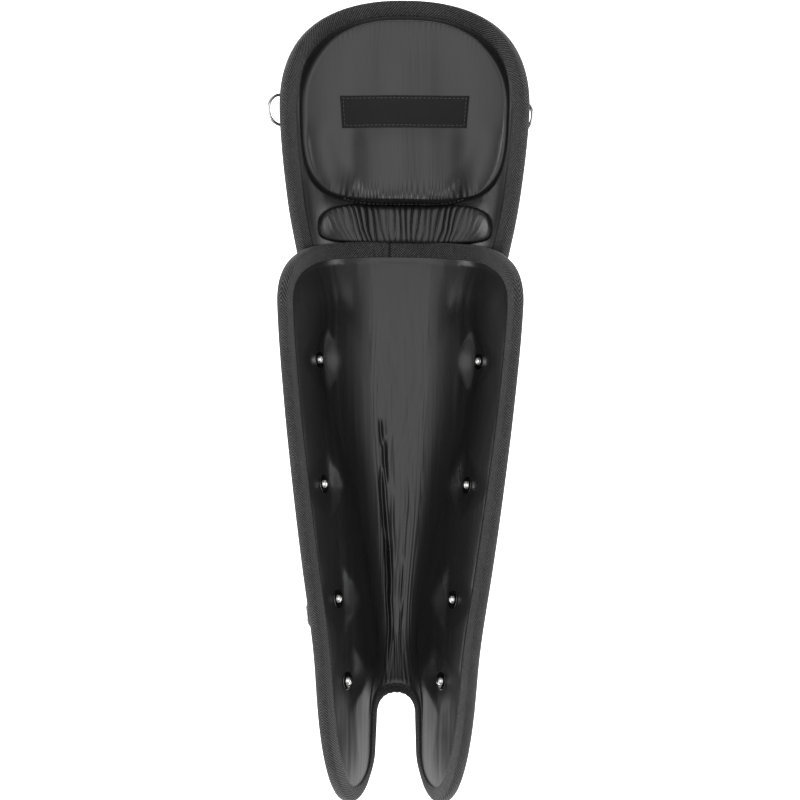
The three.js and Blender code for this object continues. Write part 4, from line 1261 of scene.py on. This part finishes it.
def stitch_row(line, normals, closed):
    """A row of thread stitches along a line of points: each is a small ellipsoid laid along the line.

    The line is resampled by length at the stitch pitch; a stitch's points are its middle plus
    (length/2 cos f) along, (radius sin f cos t) aside and (radius sin f sin t) up, for f from 0 to pi.
    """
    if closed:
        line = np.concatenate([line, line[:1]])
        normals = np.concatenate([normals, normals[:1]])
    run = run_along(line)
    count = int(run[-1] / STITCH["pitch"])
    at = (np.arange(count) + 0.5) * run[-1] / count
    middle = at_lengths(line, run, at)
    up = unit(at_lengths(normals, run, at))
    along = unit(at_lengths(line, run, at + LOOK_AHEAD) - middle + NOT_ZERO)
    aside = unit(np.cross(up, along))
    f = np.linspace(0, np.pi, STITCH["rings"])[:, None]
    t = np.linspace(0, 2 * np.pi, STITCH["sides"], endpoint=False)[None]
    local = np.stack([STITCH["length"] / 2 * np.cos(f) + 0 * t, STITCH["radius"] * np.sin(f) * np.cos(t),
                      STITCH["radius"] * np.sin(f) * np.sin(t)], -1).reshape(-1, 3)
    points = middle[:, None] + local @ np.stack([along, aside, up], 1)
    faces = pointed_faces(STITCH["rings"], STITCH["sides"])[None]
    faces = faces + (np.arange(count) * len(local))[:, None, None]
    return points.reshape(-1, 3), faces.reshape(-1, 4)


def joined(*bodies):
    """Several bodies as one: points after points, with the faces' numbers moved along."""
    starts = np.cumsum([0] + [len(points) for points, _ in bodies[:-1]])
    points = np.concatenate([points for points, _ in bodies])
    return points, np.concatenate([faces + start for (_, faces), start in zip(bodies, starts)])


def tape_stitches(sheet):
    """The stitch row that holds a tape, a little way out from its hem on the leg side."""
    hem = hem_line(sheet, TAPE_STEP)
    lift = EDGE_THICK + TAPE_EASE + TAPE_THICK + TAPE_SEAM["above"]
    reach = HEM_START * hem["face"] + np.minimum(TAPE_SEAM["in"], TAPE_SEAM["most"] * hem["face"])
    line, above = (off_hem(sheet, hem, reach[:, None], height)[:, 0] for height in (lift, lift + LOOK_UP))
    return stitch_row(line, above - line, True)


def knee_line(across, y, lift):
    """Points and upward directions along a line on the knee panel's leg side."""
    line = place(KNEE_SECTIONS, across, y, lift)
    return line, place(KNEE_SECTIONS, across, y, lift + LOOK_UP) - line


def cover_stitches():
    """The stitch row of the seam between the cushion and the roll."""
    across = np.linspace(-COVER_SEAM["half"], COVER_SEAM["half"], COVER_SEAM["points"])
    y = cushion_foot(across) - SEAM_ROOM / 2
    return stitch_row(*knee_line(across, y, CUSHION_FLOOR + COVER_SEAM["above"]), False)


def patch_stitches():
    """The stitch row round the patch, a rectangle a little way in from its edge."""
    trip, ends = np.linspace(-1, 1, BORDER["points"]), np.ones(BORDER["points"])
    share = (1 - BORDER["in"] / PATCH["half"]) * np.concatenate([trip, ends, -trip, -ends])
    up = (1 - BORDER["in"] / PATCH["rise"]) * np.concatenate([-ends, trip, ends, -trip])
    across, rise = patch_places(share, up)
    return stitch_row(*knee_line(across, CUSHION["y"] + rise, patch_lift(share, up) + BORDER["above"]), True)


for thread_name, stitches, sheet, slot in (
        ("shin_tape_thread", tape_stitches(SHIN), SHIN, "tape"),
        ("knee_thread", joined(tape_stitches(KNEE), cover_stitches()), KNEE, "tape"),
        ("patch_thread", patch_stitches(), KNEE, "patch")):
    dress(make_piece(thread_name, *stitches, THREAD, sheet["shift"]), slot)


# Camera, at the photograph's angle: straight down on the leg side
CAMERA_HEIGHT = 2.2
CAMERA_ASIDE = (0.00175, -0.00035)
CAMERA_ROLL = math.radians(0.6)
SENSOR_WIDTH = 36
FOCAL_LENGTH = 138.9
lens = bpy.data.cameras.new("camera")
lens.sensor_width = SENSOR_WIDTH
lens.lens = FOCAL_LENGTH
camera = bpy.data.objects.new("camera", lens)
camera.location = (*CAMERA_ASIDE, CAMERA_HEIGHT)
camera.rotation_euler = (0, 0, CAMERA_ROLL)
bpy.context.scene.collection.objects.link(camera)
bpy.context.scene.camera = camera

# Floor and light
FLOOR_HALF = 6.0
FLOOR_PAINT = 0.9
FLOOR_GLOW = 1.5
SKY_GLOW = 0.45
WHITE = (1, 1, 1, 1)
# Soft lights that face down: name, place, size across and along, power, turn about y in degrees
LIGHTS = (
    ("overhead_wide", (-0.1, 0, 3.0), (5.0, 4.4), 22, 0),
    ("overhead", (-0.1, 0, 2.9), (2.6, 3.8), 12.5, 0),
    ("overhead_narrow", (-0.05, 0, 2.8), (0.9, 3.0), 1.7, 0),
    ("overhead_middle", (-0.05, 0, 2.82), (1.6, 3.0), 3.0, 0),
    ("overhead_broad", (-0.05, 0, 2.84), (2.3, 3.0), 4.4, 0),
    ("overhead_far", (-0.1, 0, 2.95), (3.6, 3.8), 9, 0),
    ("overhead_left", (-2.0, 0, 2.9), (1.1, 3.8), 3.6, 0),
    ("overhead_right", (2.0, 0, 2.9), (1.1, 3.8), 3.6, 0),
    ("left_side", (-2.2, -1.2, 0.7), (0.75, 4.0), 54, -72),
    ("right_side", (2.2, -1.2, 0.7), (0.75, 4.0), 46, 72),
)
floor_mesh = bpy.data.meshes.new("floor")
floor_corners = [(x * FLOOR_HALF, y * FLOOR_HALF, 0) for x, y in ((-1, -1), (1, -1), (1, 1), (-1, 1))]
floor_mesh.from_pydata(floor_corners, [], [(0, 1, 2, 3)])
floor_paint, _, floor_shader = finish_of("pale_floor", Roughness=0.9, Specular_IOR_Level=0.0,
                                         Emission_Color=WHITE, Emission_Strength=FLOOR_GLOW)
floor_shader.inputs["Base Color"].default_value = (FLOOR_PAINT, FLOOR_PAINT, FLOOR_PAINT, 1)
floor_mesh.materials.append(floor_paint)
floor = bpy.data.objects.new("floor", floor_mesh)
bpy.context.scene.collection.objects.link(floor)
for name, place_at, size, power, turn in LIGHTS:
    lamp = bpy.data.lights.new(name, "AREA")
    lamp.shape = "RECTANGLE"
    lamp.size, lamp.size_y = size
    lamp.energy = power
    light = bpy.data.objects.new(name, lamp)
    light.location = place_at
    light.rotation_euler = (0, math.radians(turn), 0)
    bpy.context.scene.collection.objects.link(light)
sky = bpy.data.worlds.new("studio")
sky.use_nodes = True
backdrop = sky.node_tree.nodes["Background"]
backdrop.inputs["Color"].default_value = WHITE
backdrop.inputs["Strength"].default_value = SKY_GLOW
bpy.context.scene.world = sky
bpy.context.scene.view_settings.view_transform = "Standard"
